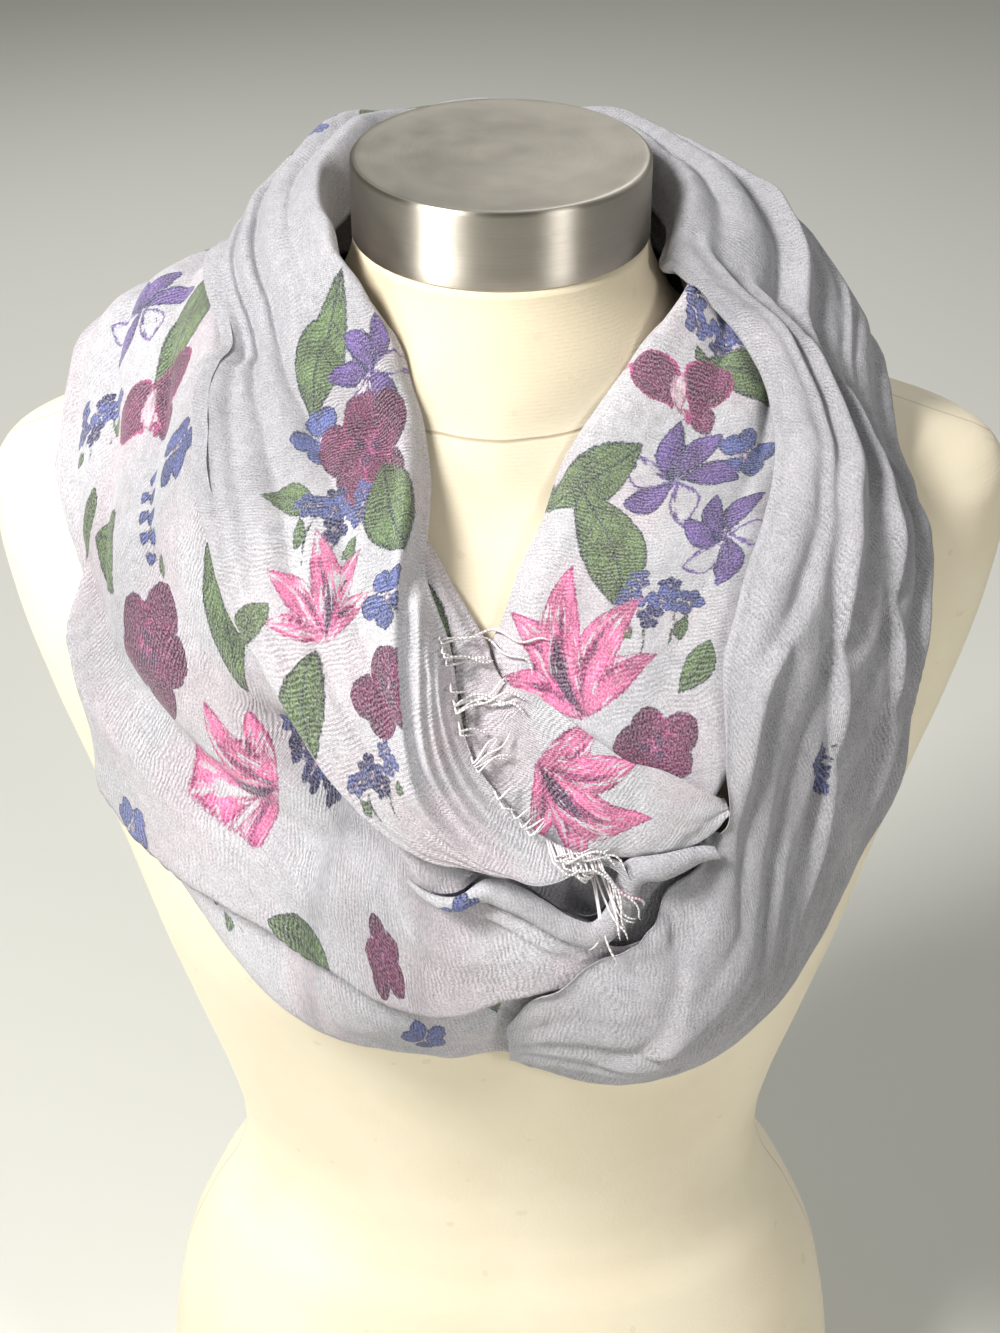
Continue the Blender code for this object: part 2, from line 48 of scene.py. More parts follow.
# The dress form: height, half width, depth to the front, depth to the back, squareness
FORM_RINGS = [
    (0, 165, 104, 116, 2.2),
    (50, 168, 106, 120, 2.2),
    (110, 160, 100, 112, 2.2),
    (160, 141, 92, 96, 2.2),
    (184, 128, 86, 87, 2.15),
    (206, 123, 84, 84, 2.15),
    (228, 124, 85, 85, 2.1),
    (250, 128, 88, 88, 2.1),
    (300, 142, 98, 96, 2.1),
    (350, 156, 108, 104, 2.1),
    (400, 168, 114, 110, 2.15),
    (440, 180, 110, 114, 2.2),
    (480, 192, 103, 116, 2.3),
    (520, 202, 93, 114, 2.35),
    (548, 206, 84, 110, 2.3),
    (565, 206, 77, 104, 2.2),
    (578, 200, 71, 96, 1.9),
    (590, 172, 68, 88, 1.6),
    (602, 140, 67, 82, 1.5),
    (614, 108, 66, 77, 1.5),
    (626, 84, 65, 72, 1.7),
    (640, 68, 62.5, 66, 2.0),
    (669, 57.2, 57.2, 57.2, 2.0),
    (700, 57.5, 57.5, 57.5, 2.0),
]

# The bust: half the distance between its sides, its height, and its size
BUST_SIDE = 72
BUST_HEIGHT = 398
BUST_HALF_WIDTH = 48
BUST_HALF_HEIGHT = 52
BUST_DEPTH = 22

# The form's mesh, and the top of its neck
FORM_SIDES = 168
FORM_STEP = 3.6
NECK_TOP = 668.6
HIP_ROUND = 3

CAP_RADIUS = 57.5
CAP_BOTTOM = 669
CAP_TOP = 700
CAP_RIM = 2.2
CAP_RIM_STEPS = 8
CAP_STEPS = 160

# The ring inside the form that drape heights are measured from: azimuth, radius, height
CORE_RING = [(0, 40, 520), (45, 58, 530), (90, 80, 552), (135, 58, 560), (180, 40, 568)]

# Steps of the maps of heights, and how cloth lies: its gap to what is below, and its turned edges
MAP_STEP = 1.0
MAP_REACH = 260.0
MAP_HALVINGS = 24
CLOTH_GAP = 1.3
FLOOR_SOFTENING = 12
TOP_WAVE = 26
LOW_WAVE = 31
WAVE_HEIGHT = 1.2
EDGE_ROUND = 2.6
EDGE_STEPS = 5
HEM_UNDER = 6.0

# The pocket at the centre front: its stations, how far it stands open, and its share of the width
POCKET = (0.02, 0.31)
POCKET_RISE = 13
POCKET_SHARE = 0.2

# The hollow under the lowest front fold: stations, shares of the width there, its depth and its half width
HOLLOW = ((0.2, 0.25, 0.3, 0.36, 0.45), (0.16, 0.26, 0.33, 0.34, 0.3))
HOLLOW_DEPTH = 12
HOLLOW_SHARE = 0.13

# The rolled corner: its radius, how deep it sits, the part of a full turn that shows, and its points around
ROLL_RADIUS = 6.8
ROLL_SEAT = 0.7
ROLL_FROM = -110
ROLL_TO = 210
ROLL_COLUMNS = 40

# The form's cover: height of the neck seam, depth of the side seams, and distance between ribs
NECK_SEAM = 628
SIDE_SEAM = 4
COVER_RIB = 1.6

# The scarf's cloth: distances between crinkles and between twill lines, and the twist of a thread
CRINKLE = 1.8
TWILL = 0.8
TWIST = 1.4

# The print: what bare cloth has as its distance to a motif, and how far along the cloth a motif can reach
BARE = 4.0
MOTIF_REACH = 95

# The floor, in metres, the warm lights' colour and the strength of the light all round
FLOOR_HALF = 4
WARM = (1.0, 0.985, 0.96)
ROOM_LIGHT = 0.27

# The camera: its place in metres, degrees that it looks down, and its lens and sensor
CAMERA_PLACE = (-0.0004, -0.8990, 1.0636)
CAMERA_DOWN = 33.6
LENS = 67.8
SENSOR = 36

# Each stretch is a row of sections, from one end to the other.
# Columns: azimuth, radius and height of the top edge, then of the low edge,
# then how far the cloth stands off the form just inside the low edge, and the bulge between the edges.
BACK_UNDER = [
    (93.4, 70, 667, 96.4, 104, 646, 12, 3),
    (120, 68, 668, 120, 108, 638, 14, 3),
    (150, 70, 666, 150, 112, 630, 16, 3),
    (180, 72, 664, 180, 118, 624, 18, 3),
    (210, 74, 664, 210, 124, 620, 20, 3),
    (240, 84, 662, 240, 140, 616, 26, 4),
]
RIGHT_INNER = [
    (76, 72, 664, 82, 108, 645, 14, 3),
    (60, 70, 659, 76, 122, 630, 16, 3),
    (47, 71, 648, 71, 132, 616, 17, 3),
    (34, 71, 635, 66, 138, 602, 17, 3),
    (20, 75, 610, 61, 141, 590, 17, 3),
    (11, 82, 585, 55, 142, 564, 18, 3),
    (5, 88, 566, 51, 144, 546, 20, 3),
    (1, 93, 548, 48, 146, 528, 22, 3),
    (-2, 98, 536, 45, 148, 510, 24, 4),
    (-3, 107, 522, 42, 148, 494, 26, 4),
    (0, 115, 503, 39, 147, 482, 27, 4),
    (4, 119, 484, 35, 144, 472, 28, 4),
    (9, 122, 470, 29, 138, 464, 28, 3),
]
LEFT_OUTER = [
    (26, 129, 440, 24, 118, 350, 14, 2),
    (17, 126, 428, 12, 114, 346, 12, 3),
    (7, 123, 434, 2, 112, 350, 12, 4),
    (-5, 122, 447, -9, 114, 350, 13, 5),
    (-18, 127, 472, -19, 128, 356, 14, 5),
    (-27, 131, 498, -29, 143, 372, 14, 5),
    (-34, 134, 530, -41, 150, 382, 14, 5),
    (-41, 134, 556, -51, 154, 396, 13, 5),
    (-47, 131, 584, -58, 160, 418, 12, 5),
    (-54, 124, 609, -62, 167, 452, 11, 5),
    (-59, 118, 627, -64, 174, 492, 10, 6),
    (-64, 112, 640, -66, 177, 528, 9, 6),
    (-70, 106, 648, -70, 174, 556, 10, 8),
    (-80, 99, 654, -80, 168, 584, 16, 9),
    (-92, 94, 658, -92, 160, 604, 28, 9),
    (-101, 92, 658, -101, 156, 608, 32, 6),
]
RIGHT_OUTER = [
    (100, 64, 690, 102, 142, 622, 20, 18),
    (86, 64, 689, 92, 148, 608, 16, 10),
    (72, 66, 684, 82, 156, 596, 13, 5),
    (70, 80, 671, 75, 168, 580, 9, 4),
    (70, 96, 659, 71, 176, 560, 8, 4),
    (66, 113, 645, 69, 180, 534, 8, 4),
    (61, 128, 628, 67, 179, 508, 9, 4),
    (56, 135, 609, 66, 176, 480, 10, 4),
    (50, 140, 589, 66, 172, 452, 12, 4),
    (44, 144, 568, 64, 168, 424, 13, 4),
    (39, 147, 537, 61, 160, 398, 14, 4),
    (37, 149, 494, 56, 150, 372, 14, 4),
    (35, 146, 446, 48, 136, 342, 14, 4),
    (26, 140, 436, 38, 126, 326, 14, 4),
    (19, 138, 420, 28, 121, 320, 14, 4),
    (13, 134, 409, 18, 117, 328, 14, 4),
    (6, 131, 397, 9, 115, 340, 14, 3),
    (1, 127, 380, 2, 114, 352, 14, 2),
]
BACK_UPPER = [
    (-72, 64, 692, -74, 116, 656, 30, 2),
    (-90, 63, 694, -90, 114, 652, 34, 4),
    (-112, 64, 694, -112, 118, 648, 32, 16),
    (-140, 65, 692, -140, 122, 642, 28, 36),
    (-165, 66, 690, -165, 124, 638, 26, 32),
    (-190, 66, 689, -190, 124, 636, 25, 31),
    (-215, 65, 690, -215, 126, 636, 24, 38),
    (-238, 63, 690, -238, 132, 632, 22, 32),
]
LEFT_INNER = [
    (-58, 68, 688, -67, 124, 660, 26, 2),
    (-48, 68, 683, -66, 130, 652, 32, 3),
    (-40, 70, 672, -64, 136, 640, 34, 3),
    (-32, 71, 655, -60, 141, 626, 36, 3),
    (-27, 73, 638, -56, 145, 608, 37, 3),
    (-22, 81, 612, -51, 148, 587, 38, 3),
    (-20, 91, 595, -46, 150, 567, 38, 3),
    (-18, 101, 576, -40, 151, 546, 38, 3),
    (-14, 109, 562, -34, 149, 521, 38, 3),
    (-10, 117, 544, -27, 146, 495, 38, 3),
    (-8, 123, 524, -19, 142, 474, 38, 3),
    (-5, 125, 504, -10, 138, 461, 36, 3),
    (0, 127, 487, -3, 135, 458, 34, 3),
    (6, 129, 474, 5, 133, 458, 32, 2),
    (13, 132, 466, 13, 134, 457, 30, 1),
    (20, 135, 463, 21, 137, 456, 30, 1),
]
TAIL = [
    (-26, 82, 589, -30, 108, 575, 16, 2),
    (-19, 87, 576, -25, 111, 560, 18, 2),
    (-12, 93, 559, -21, 113, 544, 18, 2),
    (-6, 99, 544, -17, 117, 525, 20, 2),
    (0, 106, 532, -13, 119, 504, 21, 3),
    (4, 111, 528, -6, 120, 484, 23, 3),
    (8, 113, 524, 0, 120, 477, 24, 3),
    (17, 121, 511, 8, 120, 470, 26, 3),
    (22, 125, 503, 14, 123, 463, 27, 3),
    (28, 131, 498, 21, 128, 463, 29, 2),
    (32, 137, 491, 28, 134, 464, 30, 2),
    (35, 143, 486, 34, 141, 467, 30, 1),
    (37, 145, 481, 37, 146, 475, 30, 1),
]
ROLLED_HEM = [
    (-17, 131, 458, -17, 133, 447, 22, 1),
    (-12, 130, 453, -12, 131, 442, 25, 1),
    (-4, 128, 451, -4, 129, 438, 28, 1),
    (3, 128, 448, 2, 129, 431, 30, 1),
    (7, 130, 441, 6, 131, 427, 31, 1),
    (11, 133, 435, 10, 134, 421, 31, 1),
    (15, 136, 432, 15, 137, 420, 31, 1),
    (18, 137, 437, 19, 139, 426, 31, 1),
    (19, 137, 445, 23, 140, 438, 31, 1),
    (20, 136, 454, 24, 140, 447, 31, 1),
    (24, 137, 463, 26, 140, 452, 31, 1),
    (31, 142, 466, 32, 145, 452, 31, 1),
    (35, 147, 468, 36, 149, 453, 31, 1),
]

# The fold that shows inside the pocket at the centre front
INNER_FOLD = [
    (-30, 122, 484, -30, 142, 420, 4, 0),
    (-8, 110, 486, -8, 121, 414, 4, 0),
    (8, 110, 486, 8, 121, 410, 4, 0),
    (22, 116, 484, 22, 137, 414, 4, 0),
    (38, 130, 480, 38, 152, 418, 4, 0),
]

# A turn of the scarf is three stretches in a row. A station on it is 0 to 3: one for each stretch.
TURNS = {
    "inner": (LEFT_OUTER, BACK_UNDER[::-1], RIGHT_INNER),
    "outer": (RIGHT_OUTER[::-1], BACK_UPPER[::-1], LEFT_INNER),
    "tail": (TAIL,),
    "hem": (ROLLED_HEM,),
    "fold": (INNER_FOLD,),
}
POINTS = {"fold": (170, 60), "inner": (960, 88), "outer": (960, 88), "tail": (230, 60), "hem": (220, 18)}

# Valleys that run along a turn: shares of the width at stations 0, 0.5, 1 and so on, then the depths there
VALLEYS = {
    "inner": [
        ((0, 0, 0, 0, 0, 0, 0), (5, 5, 5, 4, 4, 1, 2)),
        ((0.3, 0.34, 0.3, 0.36, 0.42, 0.36, 0.2), (4, 4, 5, 5, 4, 1.5, 2)),
        ((0.6, 0.64, 0.6, 0.68, 0.76, 0.72, 0.6), (3, 4, 5, 6, 5, 2, 2)),
        ((0.84, 0.86, 0.84, 0.86, 0.9, 0.9, 0.86), (2, 2, 4, 3, 2, 1, 1)),
        ((1, 1, 1, 1, 1, 1, 1), (3, 3, 4, 4, 3, 2, 2)),
    ],
    "outer": [
        ((0, 0, 0, 0, 0, 0, 0), (4, 4, 6, 4, 4, 2, 2)),
        ((0.3, 0.14, 0.16, 0.22, 0.28, 0.14, 0.18), (3, 3, 5, 6, 4, 2, 1)),
        ((0.5, 0.34, 0.36, 0.44, 0.55, 0.42, 0.5), (4, 5, 7, 6, 6, 2.5, 1)),
        ((0.66, 0.5, 0.52, 0.64, 0.74, 0.68, 0.7), (4, 5, 7, 5, 5, 3, 1)),
        ((0.8, 0.66, 0.7, 0.8, 0.87, 0.84, 0.84), (4, 5, 5, 3, 3, 1, 1)),
        ((0.9, 0.82, 0.86, 0.9, 0.94, 0.92, 0.92), (3, 4, 3, 2, 2, 1, 1)),
        ((1, 1, 1, 1, 1, 1, 1), (3, 4, 4, 4, 3, 3, 3)),
    ],
    "tail": [((0, 0, 0), (1, 1, 1)), ((0.5, 0.5, 0.5), (1, 1.5, 1)), ((1, 1, 1), (1, 1, 1))],
    "hem": [((0, 0, 0), (0, 0, 0)), ((1, 1, 1), (0, 0, 0))],
    "fold": [((0, 0, 0), (0, 0, 0)), ((1, 1, 1), (0, 0, 0))],
}

# Height kept at the top edge, at the low edge and at the low edge of the last stretch, and the share of the
# width that each edge takes to come down
EDGES = {
    "inner": (0.5, 0.12, 0.3, 0.12),
    "outer": (0.5, 0.14, 0.94, 0.12),
    "fold": (1, 1, 1, 0.1),
    "tail": (0.6, 0.5, 0.5, 0.1),
    "hem": (0.1, 0.1, 0.1, 0.5),
}

# Fold edges: turn, stations, shares of the width there, height, run on the raised side, and that side
LAPS = [
    ("outer", (2.36, 2.47, 2.53, 2.6, 2.68, 2.76, 2.86, 2.98),
     (-0.03, 0.03, 0.12, 0.24, 0.40, 0.56, 0.68, 0.76), 5.5, 16, 1),
    ("outer", (2.5, 2.58, 2.66, 2.71, 2.76, 2.82, 2.9, 2.98),
     (-0.03, 0.06, 0.22, 0.31, 0.4, 0.5, 0.58, 0.64), 4.6, 7, 1),
    ("outer", (2.53, 2.6, 2.66, 2.71, 2.76, 2.82, 2.9, 2.98),
     (-0.03, 0.05, 0.14, 0.21, 0.28, 0.37, 0.46, 0.5), 4.2, 6, 1),
    ("outer", (2.56, 2.63, 2.68, 2.73, 2.78, 2.83, 2.9, 2.98),
     (-0.03, 0.04, 0.1, 0.14, 0.18, 0.24, 0.32, 0.36), 3.6, 5, 1),
    ("outer", (0.06, 0.12, 0.17, 0.19, 0.23, 0.3), (0.7, 0.47, 0.24, 0.14, 0.05, -0.02), 6.0, 26, 1),
    ("outer", (0.26, 0.39, 0.47, 0.6, 0.75, 0.95), (0.02, 0.07, 0.15, 0.12, 0.1, 0.12), 4.5, 10, 1),
    ("outer", (0.28, 0.36, 0.41, 0.46, 0.51, 0.58, 0.7, 0.9),
     (0.68, 0.58, 0.5, 0.36, 0.24, 0.19, 0.2, 0.26), 6.0, 8, 1),
    ("outer", (0.36, 0.44, 0.48, 0.53, 0.57, 0.64, 0.8, 1.1),
     (0.88, 0.76, 0.68, 0.55, 0.46, 0.4, 0.42, 0.46), 5.0, 9, 1),
    ("outer", (0.4, 0.5, 0.6, 0.8, 1.2), (0.93, 0.84, 0.72, 0.66, 0.68), 4.0, 9, 1),
    ("inner", (0.08, 0.15, 0.23, 0.3, 0.35, 0.43, 0.53, 0.63, 0.76),
     (0.2, 0.22, 0.29, 0.48, 0.59, 0.64, 0.65, 0.72, 0.82), 12.0, 20, 1),
    ("inner", (0.03, 0.1, 0.15, 0.18, 0.22, 0.26, 0.3, 0.34, 0.37, 0.4, 0.47, 0.55, 0.66),
     (0.28, 0.33, 0.41, 0.45, 0.53, 0.61, 0.67, 0.71, 0.74, 0.77, 0.82, 0.86, 0.93), 15.0, 17, -1),
]


def smooth(knots, values, at):
    """A curve through the values at the knots that doesn't swing past them."""
    knots = np.asarray(knots, float)
    values = np.asarray(values, float)
    steps = np.diff(knots)
    slopes = np.diff(values) / steps
    tangents = np.zeros_like(values)
    product = slopes[:-1] * slopes[1:]
    total = slopes[:-1] + slopes[1:]
    safe = np.where(product > 0, total, 1.0)
    tangents[1:-1] = np.where(product > 0, 2 * product / safe, 0.0)
    tangents[0] = slopes[0]
    tangents[-1] = slopes[-1]
    at = np.clip(np.asarray(at, float), knots[0], knots[-1])
    cell = np.clip(np.searchsorted(knots, at, side="right") - 1, 0, len(steps) - 1)
    t = (at - knots[cell]) / steps[cell]
    rise = values[cell + 1] - values[cell]
    lead = tangents[cell] * steps[cell]
    tail = tangents[cell + 1] * steps[cell]
    return values[cell] + t * lead + t * t * (3 * rise - 2 * lead - tail) + t**3 * (lead + tail - 2 * rise)


def eased(x):
    """0 below 0, 1 above 1, and smooth between."""
    x = np.clip(x, 0, 1)
    return x * x * (3 - 2 * x)


def hashed(i, j, seed):
    """An uneven number from 0 to 1 for each pair of whole numbers."""
    value = np.sin(i * 127.1 + j * 311.7 + seed * 53.3) * 43758.5453
    return value - np.floor(value)


def noise(x, y, seed):
    """Smooth noise from -1 to 1, with a period of about 1 in x and y."""
    i = np.floor(x)
    j = np.floor(y)
    s = eased(x - i)
    t = eased(y - j)
    low = hashed(i, j, seed) * (1 - s) + hashed(i + 1, j, seed) * s
    high = hashed(i, j + 1, seed) * (1 - s) + hashed(i + 1, j + 1, seed) * s
    return 2 * (low * (1 - t) + high * t) - 1


def softened(grid, passes, axis):
    """The grid with each value averaged with its neighbours, several times over."""
    for _ in range(passes):
        before = np.concatenate([grid.take([0], axis), grid.take(range(grid.shape[axis] - 1), axis)], axis)
        after = np.concatenate([grid.take(range(1, grid.shape[axis]), axis), grid.take([-1], axis)], axis)
        grid = (before + 2 * grid + after) / 4
    return grid


def form_ring(height):
    """Half width, front depth, back depth and squareness of the form at these heights."""
    table = np.array(FORM_RINGS, float)
    return [smooth(table[:, 0], table[:, column], height) for column in range(1, 5)]


def bust(x, z):
    """How far the bust stands out in front of the plain ring."""
    across = (np.abs(x) - BUST_SIDE) / BUST_HALF_WIDTH
    along = (z - BUST_HEIGHT) / BUST_HALF_HEIGHT
    return BUST_DEPTH * np.exp(-(across**2) - along**2)


def inside_form(x, y, z):
    """True where a point lies in the form or its neck."""
    half, front, back, square = form_ring(z)
    depth = np.where(y < 0, front + bust(x, z), back)
    level = (np.abs(x) / half) ** square + (np.abs(y) / depth) ** square
    return (level < 1) & (z < CAP_TOP)


def core(azimuth):
    """Radius and height of the core ring at an azimuth."""
    before = [(-row[0], row[1], row[2]) for row in CORE_RING[1:2]]
    after = [(360 - row[0], row[1], row[2]) for row in CORE_RING[-2:-1]]
    table = np.array(before + CORE_RING + after, float)
    folded = np.abs((np.asarray(azimuth, float) + 180) % 360 - 180)
    return smooth(table[:, 0], table[:, 1], folded), smooth(table[:, 0], table[:, 2], folded)


def to_core(azimuth, radius, height):
    """Tilt about the core ring and distance from it."""
    ring_radius, ring_height = core(azimuth)
    across = np.asarray(radius, float) - ring_radius
    up = np.asarray(height, float) - ring_height
    return np.degrees(np.arctan2(up, across)), np.hypot(across, up)


def from_core(azimuth, tilt, reach):
    """Points in space from azimuth, tilt about the core ring and distance from it."""
    ring_radius, ring_height = core(azimuth)
    radius = ring_radius + reach * np.cos(np.radians(tilt))
    height = ring_height + reach * np.sin(np.radians(tilt))
    turn = np.radians(azimuth)
    return np.stack([radius * np.sin(turn), -radius * np.cos(turn), height], axis=-1)


MAP_AZIMUTHS = np.arange(-180, 180, MAP_STEP)
MAP_TILTS = np.arange(-90, 121, MAP_STEP)


def form_map():
    """Distance from the core ring to the form's surface, by azimuth and tilt."""
    azimuths, tilts = np.meshgrid(MAP_AZIMUTHS, MAP_TILTS, indexing="ij")
    low = np.zeros(azimuths.shape)
    high = np.full(azimuths.shape, MAP_REACH)
    for _ in range(MAP_HALVINGS):
        middle = (low + high) / 2
        points = from_core(azimuths, tilts, middle)
        within = inside_form(points[..., 0], points[..., 1], points[..., 2])
        low = np.where(within, middle, low)
        high = np.where(within, high, middle)
    return high


def read_map(table, azimuth, tilt):
    """The map's value between its points."""
    across = ((np.asarray(azimuth, float) + 180) % 360) / MAP_STEP
    up = np.clip((np.asarray(tilt, float) - MAP_TILTS[0]) / MAP_STEP, 0, len(MAP_TILTS) - 1.001)
    column = np.floor(across).astype(int)
    row = np.floor(up).astype(int)
    s = across - column
    t = up - row
    column = column % len(MAP_AZIMUTHS)
    beyond = (column + 1) % len(MAP_AZIMUTHS)
    low = table[column, row] * (1 - s) + table[beyond, row] * s
    high = table[column, row + 1] * (1 - s) + table[beyond, row + 1] * s
    return low * (1 - t) + high * t


def laid_map(sheet, rows):
    """The highest reach of some rows of a sheet, by azimuth and tilt, spread to the neighbouring points."""
    azimuth, tilt, reach = sheet["azimuth"][rows], sheet["tilt"][rows], sheet["reach"][rows]
    column = np.round(((azimuth + 180) % 360) / MAP_STEP).astype(int) % len(MAP_AZIMUTHS)
    row = np.clip(np.round((tilt - MAP_TILTS[0]) / MAP_STEP).astype(int), 0, len(MAP_TILTS) - 1)
    table = np.zeros((len(MAP_AZIMUTHS), len(MAP_TILTS)))
    np.maximum.at(table, (column, row), reach)
    best = table.copy()
    for turn in (-1, 0, 1):
        for rise in (-1, 0, 1):
            best = np.maximum(best, np.roll(np.roll(table, turn, axis=0), rise, axis=1))
    return best


def valley_depth(name, station, v):
    """How far the cloth dips between its folds."""
    lines = VALLEYS[name]
    knots = np.arange(len(lines[0][0])) / 2
    places = [smooth(knots, line[0], station) for line in lines]
    depths = [smooth(knots, line[1], station) for line in lines]
    result = np.zeros(np.broadcast(station, v).shape)
    for k in range(len(lines) - 1):
        t = (v - places[k]) / (places[k + 1] - places[k])
        depth = depths[k] * (1 - t) + depths[k + 1] * t
        dip = depth * (1 - np.sin(math.pi * np.clip(t, 0, 1)) ** 0.85)
        result = np.where((t >= 0) & (t <= 1), dip, result)
    return result


def lay_turn(name, under):
    """A turn of the scarf laid over what's under it: its grid in space, and its own sizes."""
    stretches = TURNS[name]
    table = np.array([row for rows in stretches for row in rows], float)
    table[:, 0] = np.degrees(np.unwrap(np.radians(table[:, 0])))
    table[:, 3] += np.round((table[:, 0] - table[:, 3]) / 360) * 360
    tilt_top, reach_top = to_core(table[:, 0], table[:, 1], table[:, 2])
    tilt_low, reach_low = to_core(table[:, 3], table[:, 4], table[:, 5])
    middle = from_core((table[:, 0] + table[:, 3]) / 2, (tilt_top + tilt_low) / 2, reach_top)
    knots = np.concatenate([[0], np.cumsum(np.linalg.norm(np.diff(middle, axis=0), axis=1))])
    ends = np.cumsum([len(rows) for rows in stretches]) - 1
    stations = np.interp(knots, [0, *knots[ends]], np.arange(len(stretches) + 1.0))
    loft_top = reach_top - read_map(FORM_MAP, table[:, 0], tilt_top)
    edges = from_core(table[:, 0], tilt_top, reach_top) - from_core(table[:, 3], tilt_low, reach_low)
    widths = np.linalg.norm(edges, axis=1)

    rows, columns = POINTS[name]
    along = np.linspace(0, knots[-1], rows)[:, None]
    v = np.linspace(0, 1, columns)[None, :]

    def at(column):
        """A column of the table at each row of the grid."""
        return smooth(knots, column, along)

    station = np.interp(along, knots, stations)
    width = at(widths)
    x = np.broadcast_to(along, (rows, columns))
    y = v * width
    wave = noise(along / TOP_WAVE, 0 * along, 3) * (1 - v) + noise(along / LOW_WAVE, 0 * along, 8) * v
    place = v + wave * WAVE_HEIGHT / width
    azimuth = at(table[:, 0]) * (1 - place) + at(table[:, 3]) * place
    tilt = at(tilt_top) * (1 - place) + at(tilt_low) * place
    loft = at(loft_top) * (1 - v) + at(table[:, 6]) * v + at(table[:, 7]) * 4 * v * (1 - v)
    loft = loft - valley_depth(name, station, v) + laps(name, station, v, width) + creases(name, x, y, width)
    if name == "inner":
        at_pocket = eased((station - POCKET[0]) / 0.08) * eased((POCKET[1] - station) / 0.1)
        loft = loft + POCKET_RISE * at_pocket * eased((POCKET_SHARE - v) / POCKET_SHARE)
        line = smooth(HOLLOW[0], HOLLOW[1], station)
        at_hollow = eased((station - HOLLOW[0][0]) / 0.06) * eased((HOLLOW[0][-1] - station) / 0.08)
        loft = loft - HOLLOW_DEPTH * at_hollow * np.exp(-(((v - line) / HOLLOW_SHARE) ** 2))
    floor = under(azimuth, tilt, station) + CLOTH_GAP
    floor = np.maximum(floor, softened(softened(floor, FLOOR_SOFTENING, 0), FLOOR_SOFTENING, 1))
    wanted = read_map(FORM_MAP, azimuth, tilt) + loft
    keep_top, keep_low, keep_last, tuck = EDGES[name]
    keep_low = keep_low + (keep_last - keep_low) * eased(station - len(stretches) + 1.3)
    top_side = np.clip(v / tuck, 0, 1)
    low_side = np.clip((1 - v) / tuck, 0, 1)
    keep = keep_top + (1 - keep_top) * np.sqrt(1 - (1 - top_side) ** 2)
    keep = keep * (keep_low + (1 - keep_low) * np.sqrt(1 - (1 - low_side) ** 2))
    over = wanted - floor
    over = (over + np.sqrt(over * over + 4)) / 2
    reach = floor + over * keep
    reach = softened(softened(reach, 1, 0), 1, 1) + crumple(x, y)
    return {
        "azimuth": azimuth, "tilt": tilt, "reach": reach, "floor": floor, "x": x, "y": y,
        "points": from_core(azimuth, tilt, reach),
        "v": np.broadcast_to(v, x.shape), "station": np.broadcast_to(station, x.shape),
        "width": np.broadcast_to(width, x.shape),
    }


def laps(name, station, v, width):
    """Sharp fold edges: the cloth rises at a line and runs down again on one side of it."""
    result = np.zeros(np.broadcast(station, v).shape)
    for turn, stations, shares, height, run, side in LAPS:
        if turn != name:
            continue
        line = smooth(stations, shares, station)
        fade = eased((station - stations[0]) / 0.1) * eased((stations[-1] - station) / 0.1)
        d = (v - line) * width * side
        rise = np.where(d > 0, np.exp(-((np.maximum(d, 0) / run) ** 1.4)), eased(1 + d / 2.2))
        dent = 0.25 * np.exp(-(((d + 5) / 4) ** 2)) + 0.2 * np.exp(-(((d + 9) / 7) ** 2))
        result = result + height * fade * (rise - dent)
    return result


def beyond_fold(name, sheet, i, j):
    """How far each point lies beyond the fold edges round the place i, j, where the print breaks off."""
    station, v = sheet["station"], sheet["v"]
    result = np.full(v.shape, -MOTIF_REACH, float)
    for turn, stations, shares, *_ in LAPS:
        if turn != name or math.floor(stations[0]) != math.floor(station[i, j]):
            continue
        aside = v - smooth(stations, shares, station)
        result = np.maximum(result, -np.sign(aside[i, j]) * aside * sheet["width"])
    return result


# Grey of the plain stretches: stations, tones there, and how much later the grey ends at the low edge
TONES = {
    "fold": ((0, 1), (1.0, 1.0), 0),
    "inner": ((0, 0.12, 0.86, 1.1, 1.9, 2.12, 3), (0.3, 0.1, 0.1, 1.0, 1.0, 0.15, 0.1), 0),
    "outer": ((0, 1, 2.0, 2.2, 2.42, 3), (0.8, 1.0, 1.0, 0.9, 0.0, 0.0), 0.34),
    "tail": ((0, 1), (0.1, 0.1), 0),
    "hem": ((0, 0.3, 0.6, 1), (0.2, 0.4, 0.8, 0.9), 0),
}

# Small creases: the seed of their places, and their number
CREASES = {"fold": (4, 12), "inner": (5, 70), "outer": (11, 70), "tail": (2, 8), "hem": (3, 0)}


def creases(name, x, y, width):
    """Soft uneven troughs and ridges that run roughly along the cloth."""
    chance = np.random.default_rng(CREASES[name][0])
    result = np.zeros(np.broadcast(x, y).shape)
    for _ in range(CREASES[name][1]):
        centre_x = chance.uniform(0, x.max())
        centre_y = chance.uniform(0.05, 0.95) * float(width.mean())
        length = chance.uniform(40, 130)
        slope = chance.uniform(-0.12, 0.12)
        bend = chance.uniform(-0.0008, 0.0008)
        breadth = chance.uniform(2.2, 6.5)
        height = chance.uniform(-1.3, 1.0)
        dx = x - centre_x
        dy = y - centre_y - slope * dx - bend * dx * dx
        window = np.cos(np.clip(dx / length, -0.5, 0.5) * math.pi) ** 2
        result = result + height * window * np.exp(-((dy / breadth) ** 2))
    return result


def crumple(x, y):
    """Small soft unevenness of thin cloth."""
    big = noise(x / 17, y / 11, 1) * 0.45
    small = noise(x / 6, y / 5, 2) * 0.22
    return big + small


